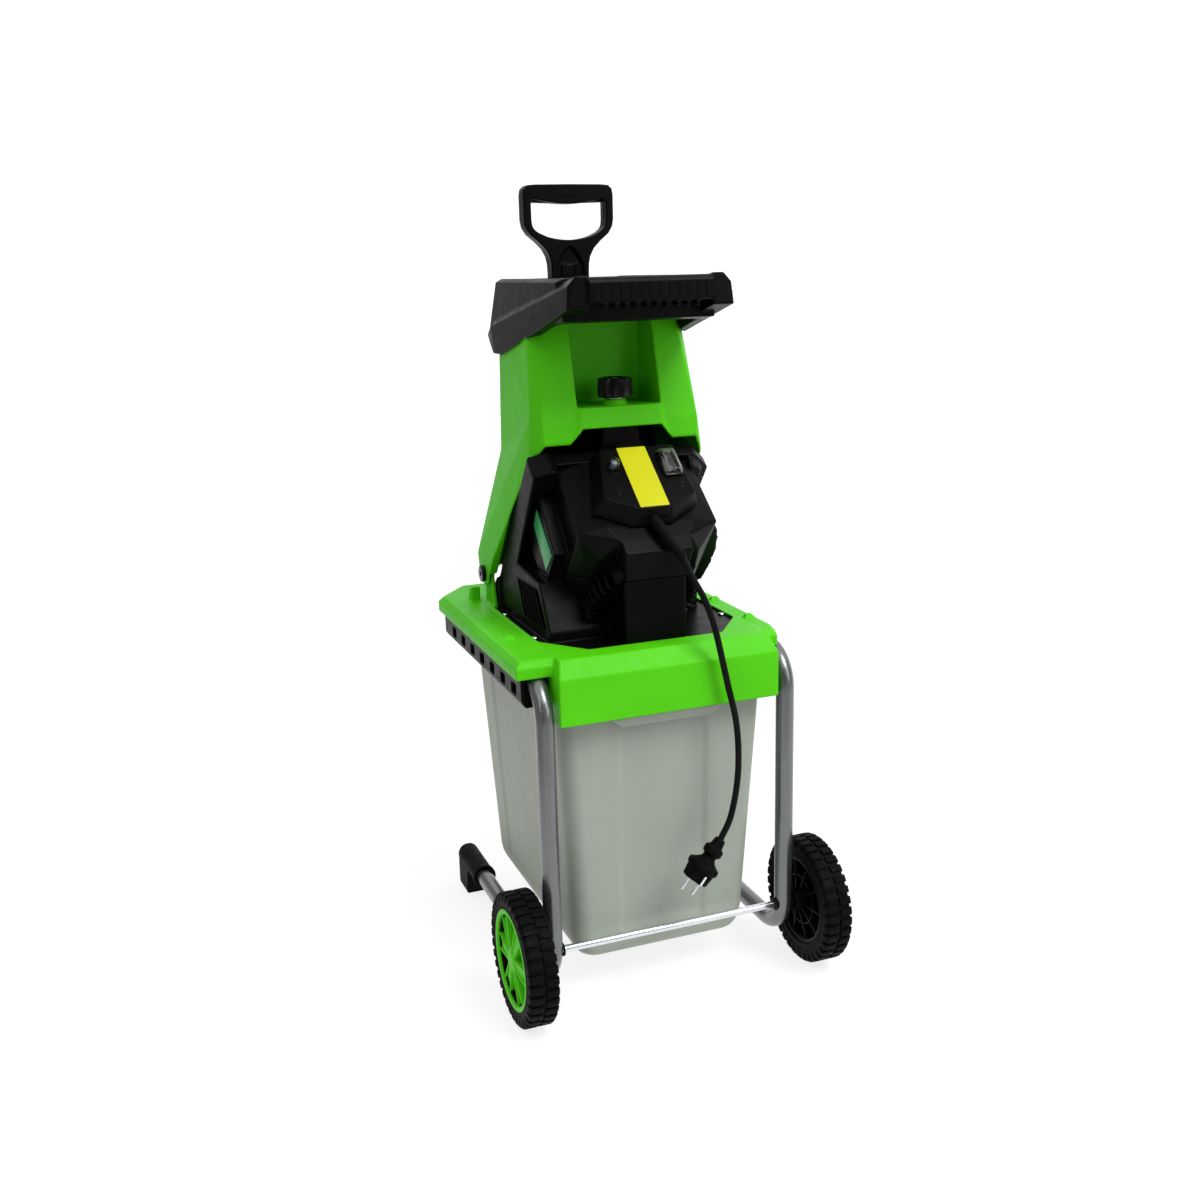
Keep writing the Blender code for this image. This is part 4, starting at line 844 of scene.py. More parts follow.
# raised seat of the label, running out over the box's upper edge
seat = hull([M(x, s, t) for x in (-19.5, 19.5) for s, t in ((10, 117), (14, 138.0), (22, BOX_TOP + 0.25), (133.2, BOX_TOP + 0.25), (137, 124), (20, 117))])
outer = join(outer, seat)
inner = hull([M(x - math.copysign(2.6, x), s + (3 if s < 50 else -3), BOX_TOP - 3) for s, x in TOP_RING] +
             [M(x - math.copysign(2.2, x), s + (2 if s < 50 else -2), 106) for s, x in LOW_RING])
case = cut(outer, inner)
case = cut(case, on_box(SW_X - 12, SW_X + 12, SW_S - 19.5, SW_S + 19.5, 120, 150), rod(M(-36, 59, 125), M(-36, 59, 150), 5.4, sides=48))
for x, s in ((-39, 104), (52, 98)):
    case = cut(case, rod(M(x, s, BOX_TOP - 1.6), M(x, s, BOX_TOP + 4), 2.9, sides=28))
keep(soften(case, 0.85, 4, 0.3), "switch_case", "black", "base", "switch_box", sharp=0)
for i, (x, s) in enumerate(((-39, 104), (52, 98))):
    screw = rod(M(x, s, BOX_TOP - 3.2), M(x, s, BOX_TOP - 0.9), 2.5, sides=28, bevel=0.35)
    screw = cut(screw, on_box(x - 1.7, x + 1.7, s - 0.35, s + 0.35, BOX_TOP - 1.7, BOX_TOP), on_box(x - 0.35, x + 0.35, s - 1.7, s + 1.7, BOX_TOP - 1.7, BOX_TOP))
    keep(screw, f"case_screw_{i + 1}", "gloss", "base")


def frame_matrix(x, s, t):
    """Columns: x, down the slope, out of the box."""
    ex, es, et = Vector((1, 0, 0)), (M(0, -1, 0) - M(0, 0, 0)).normalized(), UP.normalized()
    m = Matrix((ex, es, et)).transposed().to_4x4()
    m.translation = M(x, s, t)
    return m


def round_rect(hx, hy, r, n=6):
    out = []
    for cx, cy, a0 in ((hx - r, hy - r, 0), (r - hx, hy - r, 90), (r - hx, r - hy, 180), (hx - r, r - hy, 270)):
        for k in range(n + 1):
            a = math.radians(a0 + 90 * k / n)
            out.append((cx + r * math.cos(a), cy + r * math.sin(a)))
    return out


keep(outline(round_rect(20.5, 53, 1.6), frame_matrix(0, 78, BOX_TOP + 0.75), 0.35, 0.12), "label", "yellow", "base", "label_plate")
bezel = cut(on_box(SW_X - 13, SW_X + 13, SW_S - 22, SW_S + 22, BOX_TOP + 0.35, BOX_TOP + 3.5, 0.8),
            on_box(SW_X - 10.3, SW_X + 10.3, SW_S - 16.8, SW_S + 16.8, BOX_TOP - 20, BOX_TOP + 9))
well = cut(on_box(SW_X - 11.6, SW_X + 11.6, SW_S - 19.1, SW_S + 19.1, BOX_TOP - 18, BOX_TOP + 1),
           on_box(SW_X - 10.3, SW_X + 10.3, SW_S - 16.8, SW_S + 16.8, BOX_TOP - 15, BOX_TOP + 9))
keep(join(bezel, well), "switch_bezel", "gloss", "base", "switch_frame")
rk = hull([M(SW_X + a, SW_S + b, BOX_TOP + c) for a in (-9.3, 9.3)
           for b, c in ((-13.6, -3), (13.6, -3), (-13.6, 5.0), (-12.6, 5.6), (-6, 3.6), (0, 2.6), (6, 1.4), (13.6, 0.6), (0, -12))], 0.5)
for a in (-6.5, -4.3, -2.1):
    rk = cut(rk, on_box(SW_X - 6, SW_X + 6, SW_S + a - 0.45, SW_S + a + 0.45, BOX_TOP + 2.9, BOX_TOP + 9))
keep(rk, "rocker", "gloss", "switch_rocker", "switch_rocker")
mark = [outline([round_rect(2.6, 2.6, 2.55, 8), list(reversed(round_rect(1.9, 1.9, 1.85, 8)))], frame_matrix(SW_X, SW_S + 8.6, BOX_TOP + 1.22), 0.12),
        on_box(SW_X - 0.4, SW_X + 0.4, SW_S - 11.6, SW_S - 8.0, BOX_TOP + 4.3, BOX_TOP + 5.25)]
keep(merged(*mark), "rocker_marks", "print", "switch_rocker")


def boot_ring(t, hx, hs, r):
    return [frame_matrix(SW_X, SW_S, BOX_TOP) @ Vector((x * MM, y * MM, t * MM)) for x, y in round_rect(hx, hs, r, 6)]


def loft(levels, close_top=True, close_bottom=False):
    bm = bmesh.new()
    rows = [[bm.verts.new(p) for p in ring] for ring in levels]
    for a, b in zip(rows, rows[1:]):
        n = len(a)
        for k in range(n):
            bm.faces.new((a[k], a[(k + 1) % n], b[(k + 1) % n], b[k]))
    if close_top:
        bm.faces.new(rows[-1])
    if close_bottom:
        bm.faces.new(list(reversed(rows[0])))
    return bm


out_l = [(3.9, 12.9, 21.9, 2.0), (4.9, 12.9, 21.9, 2.0), (5.2, 12.0, 20.9, 2.6), (9.6, 11.6, 20.3, 3.0), (11.0, 11.0, 19.6, 3.2), (11.7, 9.6, 18.2, 3.4),
         (11.6, 7.6, 16.0, 3.4), (10.4, 6.4, 14.6, 3.0), (10.2, 4.0, 12.0, 3.0)]
in_l = [(a - 0.75, b - 0.8, c - 0.8, max(0.8, r - 0.8)) for a, b, c, r in out_l]
bm = loft([boot_ring(t, hx, hs, r) for t, hx, hs, r in in_l[0:1][::-1] + out_l], True, False)
boot = from_bmesh(bm, False)
bm = bmesh.new()
bm.from_mesh(boot.data)
bpy.data.objects.remove(boot)
bm2 = loft([boot_ring(t, hx, hs, r) for t, hx, hs, r in in_l], True, False)
me = bpy.data.meshes.new("t")
bm2.to_mesh(me)
bm2.free()
bm.from_mesh(me)
bmesh.ops.remove_doubles(bm, verts=bm.verts, dist=1e-6)
keep(from_bmesh(bm), "boot", "clear", "base", "switch_boot")
keep(turned(rounded([(0.0, 12.0), (3.6, 12.0), (4.4, 11.2), (4.4, -8), (0.0, -8)], 0.6), M(-36, 59, BOX_TOP), UP, 48), "reset_cap", "lens",
     "reset_button", "reset_button")
nut = [turned(rounded([(5.6, 4.6), (7.6, 4.6), (8.6, 3.6), (8.6, 0.9), (5.6, 0.9)], 0.4), M(-36, 59, BOX_TOP), UP, 6),
       turned(rounded([(5.6, 0.9), (10.2, 0.9), (10.2, 0.3), (5.6, 0.3)], 0.2), M(-36, 59, BOX_TOP), UP, 48)]
keep(merged(*nut), "reset_ring", "gloss", "base", "reset_nut")
keep(turned(rounded([(6.9, 4.4), (6.9, 10.5), (6.3, 13.8), (4.2, 15.6), (0.0, 16.0), (0.0, 15.3), (3.9, 14.9), (5.7, 13.5), (6.2, 10.5), (6.2, 4.4)], 0.3),
            M(-36, 59, BOX_TOP), UP, 48), "reset_cover", "clear", "base")

# ================================================================ hopper
H_TOP = [(97, 183, 905), (113, 203, 905), (113, 328, 905), (90, 374, 905)]
H_MID = [(113, 147, 772), (121.5, 172, 783), (119.5, 323, 721), (92, 377, 721)]
H_LOW = [(110, 140, 700), (130, 165, 700), (110, 200, 562), (150, 250, 562), (150, 368, 562), (98, 393, 562)]
H_BOT = [(110, 250, 528), (150, 300, 528), (150, 360, 528), (98, 374, 528)]


def both(pts, inset=0.0, dz=0.0):
    out = []
    for x, y, z in pts:
        yy = y + inset if y < 270 else y - inset
        out += [P(x - inset, yy, z + dz), P(inset - x, yy, z + dz)]
    return out


def hopper_solid(inset=0.0):
    top = [(95.8, 185.7, 915), (112.3, 205.5, 915), (112.5, 328.4, 915), (89.8, 373.8, 915)] if inset else H_TOP
    a = hull(both(top, inset) + both(H_MID, inset))
    b = hull(both(H_MID, inset, 0.3) + both(H_LOW, inset) + both(H_BOT, inset, -8 if inset else 0))
    return join(a, b)


shell = hopper_solid()
# bib below the ledge, its sides running out
bib = hull([P(sx * x, y, z) for sx in (-1, 1) for x, y, z in (
    (57, 148.2, 792), (57, 175, 792), (64, 137.2, 742), (64, 175, 742), (62, 151.5, 792), (70, 141.0, 742))])
shell = join(shell, bib)
void = cut(hopper_solid(3.0), block(-62.6, 62.6, 100, 228.6, LEDGE_Z - 3, 960))
behind = hull([M(x, s, t) for x in (-220, 220) for s in (-0.6, 260) for t in (-260, 260)])
shell = cut(shell, void, behind)
shell = cut(shell, hull([P(sx * x, y, z) for sx in (-1, 1) for x, y, z in (
    (60.5, 100, LEDGE_Z), (60.5, 100, 960), (60.5, 183, LEDGE_Z), (60.5, 183, 960), (57.5, 225.6, LEDGE_Z), (57.5, 225.6, 960))]),
    hull([P(sx * x, y, z) for sx in (-1, 1) for y in (100, 200) for x, z in ((57, 764), (73, 745), (73, 700))]))
for side in (-1, 1):
    shell = join(shell, hull([M(side * x, s, t) for s in (-0.6, -3.9) for x, t in (
        (136.4, 8), (149.6, -109), (149.6, -139), (136.4, -139))]))
    shell = join(shell, rod(P(side * 146.2, HINGE_Y, HINGE_Z), P(side * 150.3, HINGE_Y, HINGE_Z), 19, sides=64))
    shell = cut(shell, rod(P(side * 120, HINGE_Y, HINGE_Z), P(side * 160, HINGE_Y, HINGE_Z), 6.4, sides=40),
                block(*sorted((side * 137.4, side * 146.1)), 350, 385, 518, 550))
shell = join(shell, rod(P(0, KNOB_Y, LEDGE_Z - 4), P(0, KNOB_Y, LEDGE_Z + 8.6), 15.5, 14.5, sides=64),
             rod(P(0, KNOB_Y, LEDGE_Z - 4), P(0, KNOB_Y, LEDGE_Z + 2.2), 18.5, 17, sides=64))
shell = cut(shell, rod(P(0, KNOB_Y, 770), P(0, KNOB_Y, 812), 4.9, sides=40))
keep(soften(shell, 1.45, 7, 0.22), "hopper", "green", "hopper", "hopper_shell", sharp=0)

for side, name in ((-1, "left"), (1, "right")):
    pin = join(rod(P(side * 136, HINGE_Y, HINGE_Z), P(side * 151.5, HINGE_Y, HINGE_Z), 6, sides=40),
               rod(P(side * 150.6, HINGE_Y, HINGE_Z), P(side * 156.5, HINGE_Y, HINGE_Z), 12.5, sides=64, bevel=1.4))
    pin = cut(pin, rod(P(side * 155, HINGE_Y, HINGE_Z), P(side * 160, HINGE_Y, HINGE_Z), 4.6, sides=6))
    keep(pin, "hinge_" + name, "gloss", "base", "hinge_pin_" + name)

# ================================================================ locking knob
pts = []
N = 240
for k in range(N):
    a = 2 * math.pi * k / N
    lobe = math.cos(10 * a)
    dent = max(0.0, -lobe - 0.15) / 0.85
    pts.append(a_r := (a, 24.0 - 3.4 * dent ** 0.8))
levels = [(802.6, 0.93), (803.6, 0.97), (805.0, 1.0), (824.5, 0.985), (827.2, 0.965), (828.6, 0.92), (829.0, 0.85)]
bm = bmesh.new()
rows = []
for z, f in levels:
    rows.append([bm.verts.new(P(r * f * math.cos(a), KNOB_Y + r * f * math.sin(a), z)) for a, r in pts])
for z, r in ((828.6, 17.0), (827.2, 15.5), (827.0, 6.0), (828.2, 5.0), (828.4, 3.5)):
    rows.append([bm.verts.new(P(r * math.cos(a), KNOB_Y + r * math.sin(a), z)) for a, _ in pts])
for a, b in zip(rows, rows[1:]):
    for k in range(N):
        bm.faces.new((a[k], a[(k + 1) % N], b[(k + 1) % N], b[k]))
bm.faces.new(rows[-1])
bm.faces.new(list(reversed(rows[0])))
keep(from_bmesh(bm), "knob", "gloss", "knob", "lock_knob", sharp=35)
keep(turned(rounded([(5.3, 801.8), (13, 801.8), (13, 800.9), (5.3, 800.9)], 0.3), P(0, KNOB_Y, 0), (0, 0, 1), 64), "washer", "zinc",
     "knob_carrier", "knob_washer")
# bolt with a rolled thread
prof = [(0, 745.2), (3.2, 745.2)]
z = 746.0
while z < 786:
    prof += [(4.2, z + 0.35), (3.6, z + 1.0)]
    z += 1.25
prof += [(4.2, 787), (4.2, 802.2), (0, 802.2)]
keep(turned(prof, P(0, KNOB_Y, 0), (0, 0, 1), 48), "bolt", "steel", "knob", "knob_bolt")

# ================================================================ feed funnel
funnel = hull([P(sx * x, y, z) for sx in (-1, 1) for x, y, z in (
    (100, 72, 962), (108, 90, 957), (108, 352, 957), (96, 386, 957), (92, 372, 962), (101, 345, 962),
    (105, 72, 908.5), (113, 380, 884), (96, 398, 886), (110, 330, 876), (96, 392, 874))])
arm = hull([P(sx * x, y, z) for sx in (-1, 1) for x, y, z in (
    (100, 36, 965), (111, 36, 953), (113.5, 33, 925), (112, 342, 905), (121, 342, 897), (121, 334, 858), (119, 300, 857),
    (115, 118, 903), (118, 372, 884), (117, 352, 860))])
arm = cut(arm, hull([P(sx * x, y, z) for sx in (-1, 1) for x, y, z in ((84, 20, 900), (84, 73, 900), (84, 20, 990), (84, 73, 990))]))
bar = hull([P(sx * 86, y, z) for sx in (-1, 1) for y, z in ((30, 932), (30, 956), (33, 961), (39, 963), (46, 961.5), (50, 957), (50, 938), (46, 932))])
funnel = join(funnel, arm, bar)
top_room = hull([P(sx * x, y, z) for sx in (-1, 1) for x, y, z in (
    (98.5, 180, 905.6), (114.8, 200, 905.6), (114.8, 330, 905.6), (91.5, 376, 905.6),
    (105.5, 164, 850), (118.2, 188, 850), (118.2, 332, 850), (92.5, 377, 850))])
funnel = cut(funnel, top_room,
             hull([P(sx * x, y, z) for sx in (-1, 1) for x, y, z in ((98, 60, 905.4), (98, 190, 905.4), (104, 60, 840), (104, 190, 840))]))
funnel = cut(funnel, hull([P(sx * x, y, z) for sx in (-1, 1) for x, y, z in (
    (96, 80, 970), (101, 100, 970), (101, 346, 970), (92, 374, 970), (76, 320, 910), (76, 367, 910))]),
    block(-76, 76, SLOT_Y0, SLOT_Y1, 860, 915))
for k in range(10):
    x = -63 + 14 * k
    funnel = join(funnel, block(x - 2.4, x + 2.4, 32, 48, 924.5, 936))
    # shallow flutes on the bar's rear face
for k in range(12):
    x = -71.5 + 13 * k
    funnel = cut(funnel, hull([P(x + a, y, z) for a in (-1.1, 1.1) for y in (24, 31.2) for z in (937, 955)]))
keep(soften(funnel, 1.35, 5, 0.26), "funnel", "black", "hopper", "feed_funnel", sharp=0)
S_END = -5.0
chute = cut(hull([P(sx * 79, y, 904.6) for sx in (-1, 1) for y in (SLOT_Y0 - 3, SLOT_Y1 + 3)] +
                 [M(sx * x, S_END, t) for sx in (-1, 1) for x, t in ((77, 62), (77, -52))]),
            hull([P(sx * 76, y, 912) for sx in (-1, 1) for y in (SLOT_Y0, SLOT_Y1)] +
                 [M(sx * x, S_END + 6, t) for sx in (-1, 1) for x, t in ((74, 58), (74, -49))]))
keep(soften(chute, 1.4, 3, 0.15), "chute", "black", "hopper", "feed_chute", sharp=0)

# ================================================================ plunger
G_OUT = [(50, 1090), (61, 1089), (66.5, 1084), (68, 1076), (68, 1058), (68, 1042), (66, 1031.5), (60, 1022), (47, 1011.5), (37, 1001.5), (31, 990.5),
         (28.8, 980), (28.4, 970), (28.4, 952)]
G_IN = [(50, 1069.6), (54.6, 1069.8), (56.4, 1067), (56.6, 1050), (56.4, 1040), (54.6, 1031.6), (48.6, 1025.6), (40, 1021.3), (30, 1017.6), (15, 1014.8)]
XZ = Matrix(((1, 0, 0, 0), (0, 0, -1, 0), (0, 1, 0, 0), (0, 0, 0, 1)))


out_full = [(0, 1090.4), (25, 1090.2)] + G_OUT + [(14, 951.6), (-14, 951.6)] + [(-x, z) for x, z in reversed(G_OUT)] + [(-25, 1090.2)]
in_full = [(0, 1063.4), (18, 1064.3), (34, 1066.8)] + G_IN + [(0, 1013.8)] + [(-x, z) for x, z in reversed(G_IN)] + [(-34, 1066.8), (-18, 1064.3)]
out_ring, in_ring = smooth_closed(out_full, 4), smooth_closed(in_full, 4)


def shrunk(ring, d):
    """The ring moved inward by d, by each vertex's normal."""
    n = len(ring)
    area = sum(ring[i][0] * ring[(i + 1) % n][1] - ring[(i + 1) % n][0] * ring[i][1] for i in range(n))
    sgn = 1 if area > 0 else -1
    out = []
    for i in range(n):
        t = Vector(ring[(i + 1) % n]) - Vector(ring[i - 1])
        if t.length < 1e-9:
            continue
        t.normalize()
        out.append((ring[i][0] - sgn * t.y * d, ring[i][1] + sgn * t.x * d))
    return out


def at(g=0.0):
    return Matrix.Translation(P(0, PLUNGER_Y + g, 0)) @ XZ


def above_cut(ring, z, over):
    """The ring's points above z (or below it), closed off there."""
    out = []
    for i in range(len(ring)):
        (xa, za), (xb, zb) = ring[i - 1], ring[i]
        if (za > z) != (zb > z):
            f = (z - za) / (zb - za)
            out.append((xa + (xb - xa) * f, z))
        if (zb > z) == over:
            out.append((xb, zb))
    return out


upper = above_cut(out_ring, 977.5, True)
arch = [(20.5, 951.6), (20.5, 966), (19, 978), (14.5, 988.5), (8.5, 997.5), (3, 1003.2), (0, 1004.6)]
# the face layer: the whole outline with the arch let into it from below
right = [p for p in G_OUT if p[1] > 953] + [(28.4, 951.6)]
face = [(0, 1090.4), (25, 1090.2)] + right + arch + [(-x, z) for x, z in reversed(arch[:-1])] + [(-x, z) for x, z in reversed(right)] + [(-25, 1090.2)]
pieces_ = [outline([upper, list(reversed(in_ring))], at(), 7.8)]
for g in (-1, 1):
    pieces_.append(outline([face, list(reversed(in_ring))], at(g * 9.7), 2.3))
    # the arch's back wall, and a boss for each screw
    pieces_.append(hull([P(sx * x, PLUNGER_Y + g * y, z) for sx in (-1, 1) for y in (7.4, 9.0) for x, z in ((28.2, 951.8), (28.2, 979))]))
    for sx in (-1, 1):
        pieces_.append(hull([P(sx * x, PLUNGER_Y + g * y, z) for y in (8, 10.4) for x, z in ((7.4, 952), (12.6, 952), (7.4, 981), (12.6, 981))]))
for sx in (-1, 1):
    pieces_.append(hull([P(sx * x, PLUNGER_Y + y, z) for y in (-10, 10) for x, z in ((24.6, 951.6), (28.4, 951.6), (24.6, 979), (28.6, 979))]))
# rounded bar of the handle, fuller in the middle
pieces_.append(pipe([P(x, PLUNGER_Y, 1076.0 + 0.5 * math.cos(x / 56 * math.pi / 2)) for x in range(-56, 57, 4)], 11.4, 32,
                    radii=[10.6 + 1.9 * math.cos(x / 58 * math.pi / 2) for x in range(-56, 57, 4)]))
for sx in (-1, 1):
    pieces_.append(pipe([P(sx * 62.0, PLUNGER_Y, z) for z in range(1036, 1080, 4)], 9.0, 24,
                        radii=[5.4 + 0.9 * math.sin((z - 1036) / 44 * math.pi) for z in range(1036, 1080, 4)]))
keep(soften(merged(*pieces_), 0.95, 6, 0.25), "grip", "black", "plunger", "plunger_grip", sharp=0)
paddle = join(hull([P(sx * 24, y, z) for sx in (-1, 1) for y in (PLUNGER_Y - 7, PLUNGER_Y + 7) for z in (886, 977)]),
              hull([P(sx * 60, y, z) for sx in (-1, 1) for y in (PLUNGER_Y - 10, PLUNGER_Y + 10) for z in (880, 890)]))
for g in (-1, 1):
    paddle = cut(paddle, hull([P(sx * x, PLUNGER_Y + g * y, z) for sx in (-1, 1) for x, y, z in (
        (18, 4.5, 896), (18, 4.5, 970), (19.5, 9, 894), (19.5, 9, 972))]))
keep(soften(paddle, 1.2, 4, 0.3), "paddle", "black", "plunger", "plunger_paddle", sharp=0)


# ================================================================ collection box
def lerp_table(z, table):
    if z <= table[0][0]:
        return table[0][1:]
    for a, b in zip(table, table[1:]):
        if z <= b[0]:
            f = (z - a[0]) / (b[0] - a[0])
            return tuple(p + (q - p) * f for p, q in zip(a[1:], b[1:]))
    return table[-1][1:]


#            z    hw   y0   y1   corner
BIN = [(46, 108, 44, 394, 16), (47.2, 113, 39, 399, 19), (50.5, 118.5, 35.5, 402.5, 22), (57, 123.5, 32.5, 405, 24), (66, 127.2, 31.0, 406.4, 25),
       (78, 129.5, 30.2, 407, 25), (418, 149.3, 14, 414, 22), (427, 149.8, 13.6, 414.2, 22)]


def smooth01(t):
    t = min(1.0, max(0.0, t))
    return t * t * (3 - 2 * t)


def bin_ring(z, inset=0.0, features=True):
    hw, y0, y1, c = lerp_table(z, BIN)
    hw, y0, y1, c = hw - inset, y0 + inset, y1 - inset, max(4.0, c - inset)
    pts = []

    def line(a, b, n):
        return [tuple(a[i] + (b[i] - a[i]) * k / n for i in (0, 1)) for k in range(n)]

    def arc(cx, cy, a0, n=10):
        return [(cx + c * math.cos(math.radians(a0 + 90 * k / n)), cy + c * math.sin(math.radians(a0 + 90 * k / n))) for k in range(n)]
    rear = line((hw - c, y0), (c - hw, y0), 110)
    pts += [(x, y, "rear") for x, y in rear]
    pts += [(x, y, "") for x, y in ([(-(cx), cy) for cx, cy in []])]
    # rear-left corner
    pts += [(c - hw - c * math.sin(math.radians(9 * k)), y0 + c - c * math.cos(math.radians(9 * k)), "") for k in range(10)]
    pts += [(x, y, "left") for x, y in line((-hw, y0 + c), (-hw, y1 - c), 80)]
    pts += [(c - hw - c * math.cos(math.radians(9 * k)), y1 - c + c * math.sin(math.radians(9 * k)), "") for k in range(10)]
    pts += [(x, y, "front") for x, y in line((c - hw, y1), (hw - c, y1), 110)]
    pts += [(hw - c + c * math.sin(math.radians(9 * k)), y1 - c + c * math.cos(math.radians(9 * k)), "") for k in range(10)]
    pts += [(x, y, "right") for x, y in line((hw, y1 - c), (hw, y0 + c), 80)]
    pts += [(hw - c + c * math.cos(math.radians(9 * k)), y0 + c - c * math.sin(math.radians(9 * k)), "") for k in range(10)]
    out = []
    fade = smooth01((z - 70) / 18) * smooth01((404 - z) / 10)
    for x, y, w in pts:
        if features:
            if w in ("rear", "front"):
                d = 3.4 * (1 - smooth01((abs(x) - 57) / 11)) * fade
                y += d if w == "rear" else -d
            elif w in ("left", "right"):
                ym = (y0 + y1) / 2
                d = 2.6 * (1 - smooth01((abs(y - ym) - 118) / 11)) * fade
                x += d if w == "left" else -d
        out.append(P(x, y, z))
    return out


bm = bmesh.new()


def add_rows(bm, levels, flip=False):
    rows = [[bm.verts.new(p) for p in ring] for ring in levels]
    for a, b in zip(rows, rows[1:]):
        n = len(a)
        for k in range(n):
            f = (a[k], a[(k + 1) % n], b[(k + 1) % n], b[k])
            bm.faces.new(f)
    return rows


zs_out = [46, 46.5, 47.2, 48.5, 50.5, 53, 57, 61, 66, 70, 74, 78, 82, 86, 90] + list(range(100, 396, 14)) + [394, 397, 400, 403, 406, 412, 418, 424, 427]
levels = [bin_ring(z) for z in zs_out]


def rim_ring(z, hw, y0, y1, c):
    """Same number of points as a wall ring, on the rim's outline."""
    base = bin_ring(427, 0.0, False)
    b_hw, b_y0, b_y1, b_c = lerp_table(427, BIN)
    out = []
    for p in base:
        x, y = p.x / MM, p.y / MM + Y_MID
        out.append(P(x * hw / b_hw, y0 + (y - b_y0) * (y1 - y0) / (b_y1 - b_y0), z))
    return out


levels += [rim_ring(427.2, 153.5, 28.0, 418.0, 8), rim_ring(427.3, 155.8, 26, 420.4, 8), rim_ring(428.0, 156.4, 25.5, 421, 8), rim_ring(430.4, 156.4, 25.5, 421, 8),
           rim_ring(431.3, 155.6, 26.2, 420.2, 8), rim_ring(431.4, 149, 30, 413, 8)]
levels += [bin_ring(z, 3.2, True) for z in (430.5, 428)] + [bin_ring(z, 3.2) for z in zs_out[::-1] if 50 < z < 427]
rows = add_rows(bm, levels)
bm.faces.new(list(reversed(rows[0])))
bm.faces.new(rows[-1])
bin_o = from_bmesh(bm)
parts_ = [bin_o]
for sgn, y0 in ((-1, 16.0), (1, 412.0)):
    # finger lip under the rim
    prof = [(0, 0), (-sgn * -13.5, 0)]
    lip = hull([P(sx * x, y, z) for sx in (-1, 1) for x, y, z in (
        (79, y0, 402), (63, y0, 385), (80, y0 + sgn * 13.5, 402.5), (80, y0 + sgn * 15, 400.5), (64, y0 + sgn * 11, 388), (76, y0, 403.5))], 1.4)
    # stay inside the collar's skirt line
    parts_.append(lip)
# moulded ribs on the floor's underside
for x in (-60, 0, 60):
    parts_.append(hull([P(x + a, y, z) for a in (-3, 3) for y in (70, 370) for z in (44.0, 47.2)], 0.8))
keep(merged(*parts_), "bin", "bin", "collection_box", "collection_box", sharp=50)

lock = block(-15.8, 15.8, 479.6, 484.5, 432.6, 462, 1.2)
lock = join(lock, block(-15.8, 15.8, 484.0, 493, 434.2, 440, 1.2), block(-9, 9, 466, 482, 435, 452, 0.5),
            block(-12, 12, 423.0, 470, 436.0, 440.0, 0.5), block(-12, 12, 423.0, 426.5, 433.6, 438, 0.4))
for z in (446, 450, 454, 458):
    lock = join(lock, block(-12, 12, 484.0, 485.6, z - 0.9, z + 0.9, 0.4))
keep(lock, "box_catch", "black", "box_lock", "box_lock")

# ================================================================ screws
for i, (x, y) in enumerate(((-140.3, 130), (-140.3, 268), (140.3, 130), (140.3, 268))):
    head = turned(rounded([(0, 487.3), (4.6, 487.3), (4.6, 488.2), (3.4, 490.0), (0, 490.4)], 0.4), P(x, y, 0), (0, 0, 1), 40)
    head = cut(head, block(x - 2.6, x + 2.6, y - 0.45, y + 0.45, 489.1, 492), block(x - 0.45, x + 0.45, y - 2.6, y + 2.6, 489.1, 492))
    keep(merged(head, rod(P(x, y, 479), P(x, y, 487.8), 2.0, sides=24)), f"screw_{i + 1}", "zinc", "base", f"deck_screw_{i + 1}")
for i, (x, s, t) in enumerate(((121, 30, 70),)):
    boss = turned(rounded([(0, 0.4), (1.6, 0.4), (2.0, 1.6), (3.4, 1.6), (3.7, 0.0), (3.7, -3), (0, -3)], 0.3), M(x, s, t), M(0, 1, 0) - M(0, 0, 0), 32)
    keep(boss, f"slab_screw_{i + 1}", "gloss", "base")

# ================================================================ cord
RELIEF = [(0, 50.2, 661.2), (1, 41.7, 653), (5, 31.6, 643.6), (11, 18.9, 630.2), (17, 9, 619), (22.8, 0, 607.8)]
HANG = [(27.6, -6.4, 593), (33, -12, 578.5), (42, -19, 558.5), (49.6, -24.5, 535.5), (56.4, -28, 509), (71.5, -29, 440.7),
        (85, -29, 379.5), (87.6, -28, 311.8), (77.2, -28, 252.4)]
PLUG_TOP, PLUG_DIR = (61.6, -28.0, 220.0), Vector((-0.61, 0.0, -0.79)).normalized()
CORD_R = 4.3
cord_end = Vector(PLUG_TOP) + PLUG_DIR * 2.0
route = [P(*p) for p in smooth_route([RELIEF[-1]] + HANG + [tuple(cord_end)], 120)]
cu = bpy.data.curves.new("cord", "CURVE")
cu.dimensions = "3D"
cu.bevel_depth = CORD_R * MM
cu.bevel_resolution = 6
cu.use_fill_caps = True
sp = cu.splines.new("POLY")
sp.points.add(len(route) - 1)
for i, p in enumerate(route):
    sp.points[i].co = (*p, 1)
cord = link(bpy.data.objects.new("cord", cu))
cord.name = "cord"
cu.materials.append(MAT["cord"])
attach(cord, "base")
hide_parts("power_cord")

top = P(*PLUG_TOP)
side_v = Vector((0.79, 0, -0.61)).normalized()
depth_v = PLUG_DIR.cross(side_v).normalized()
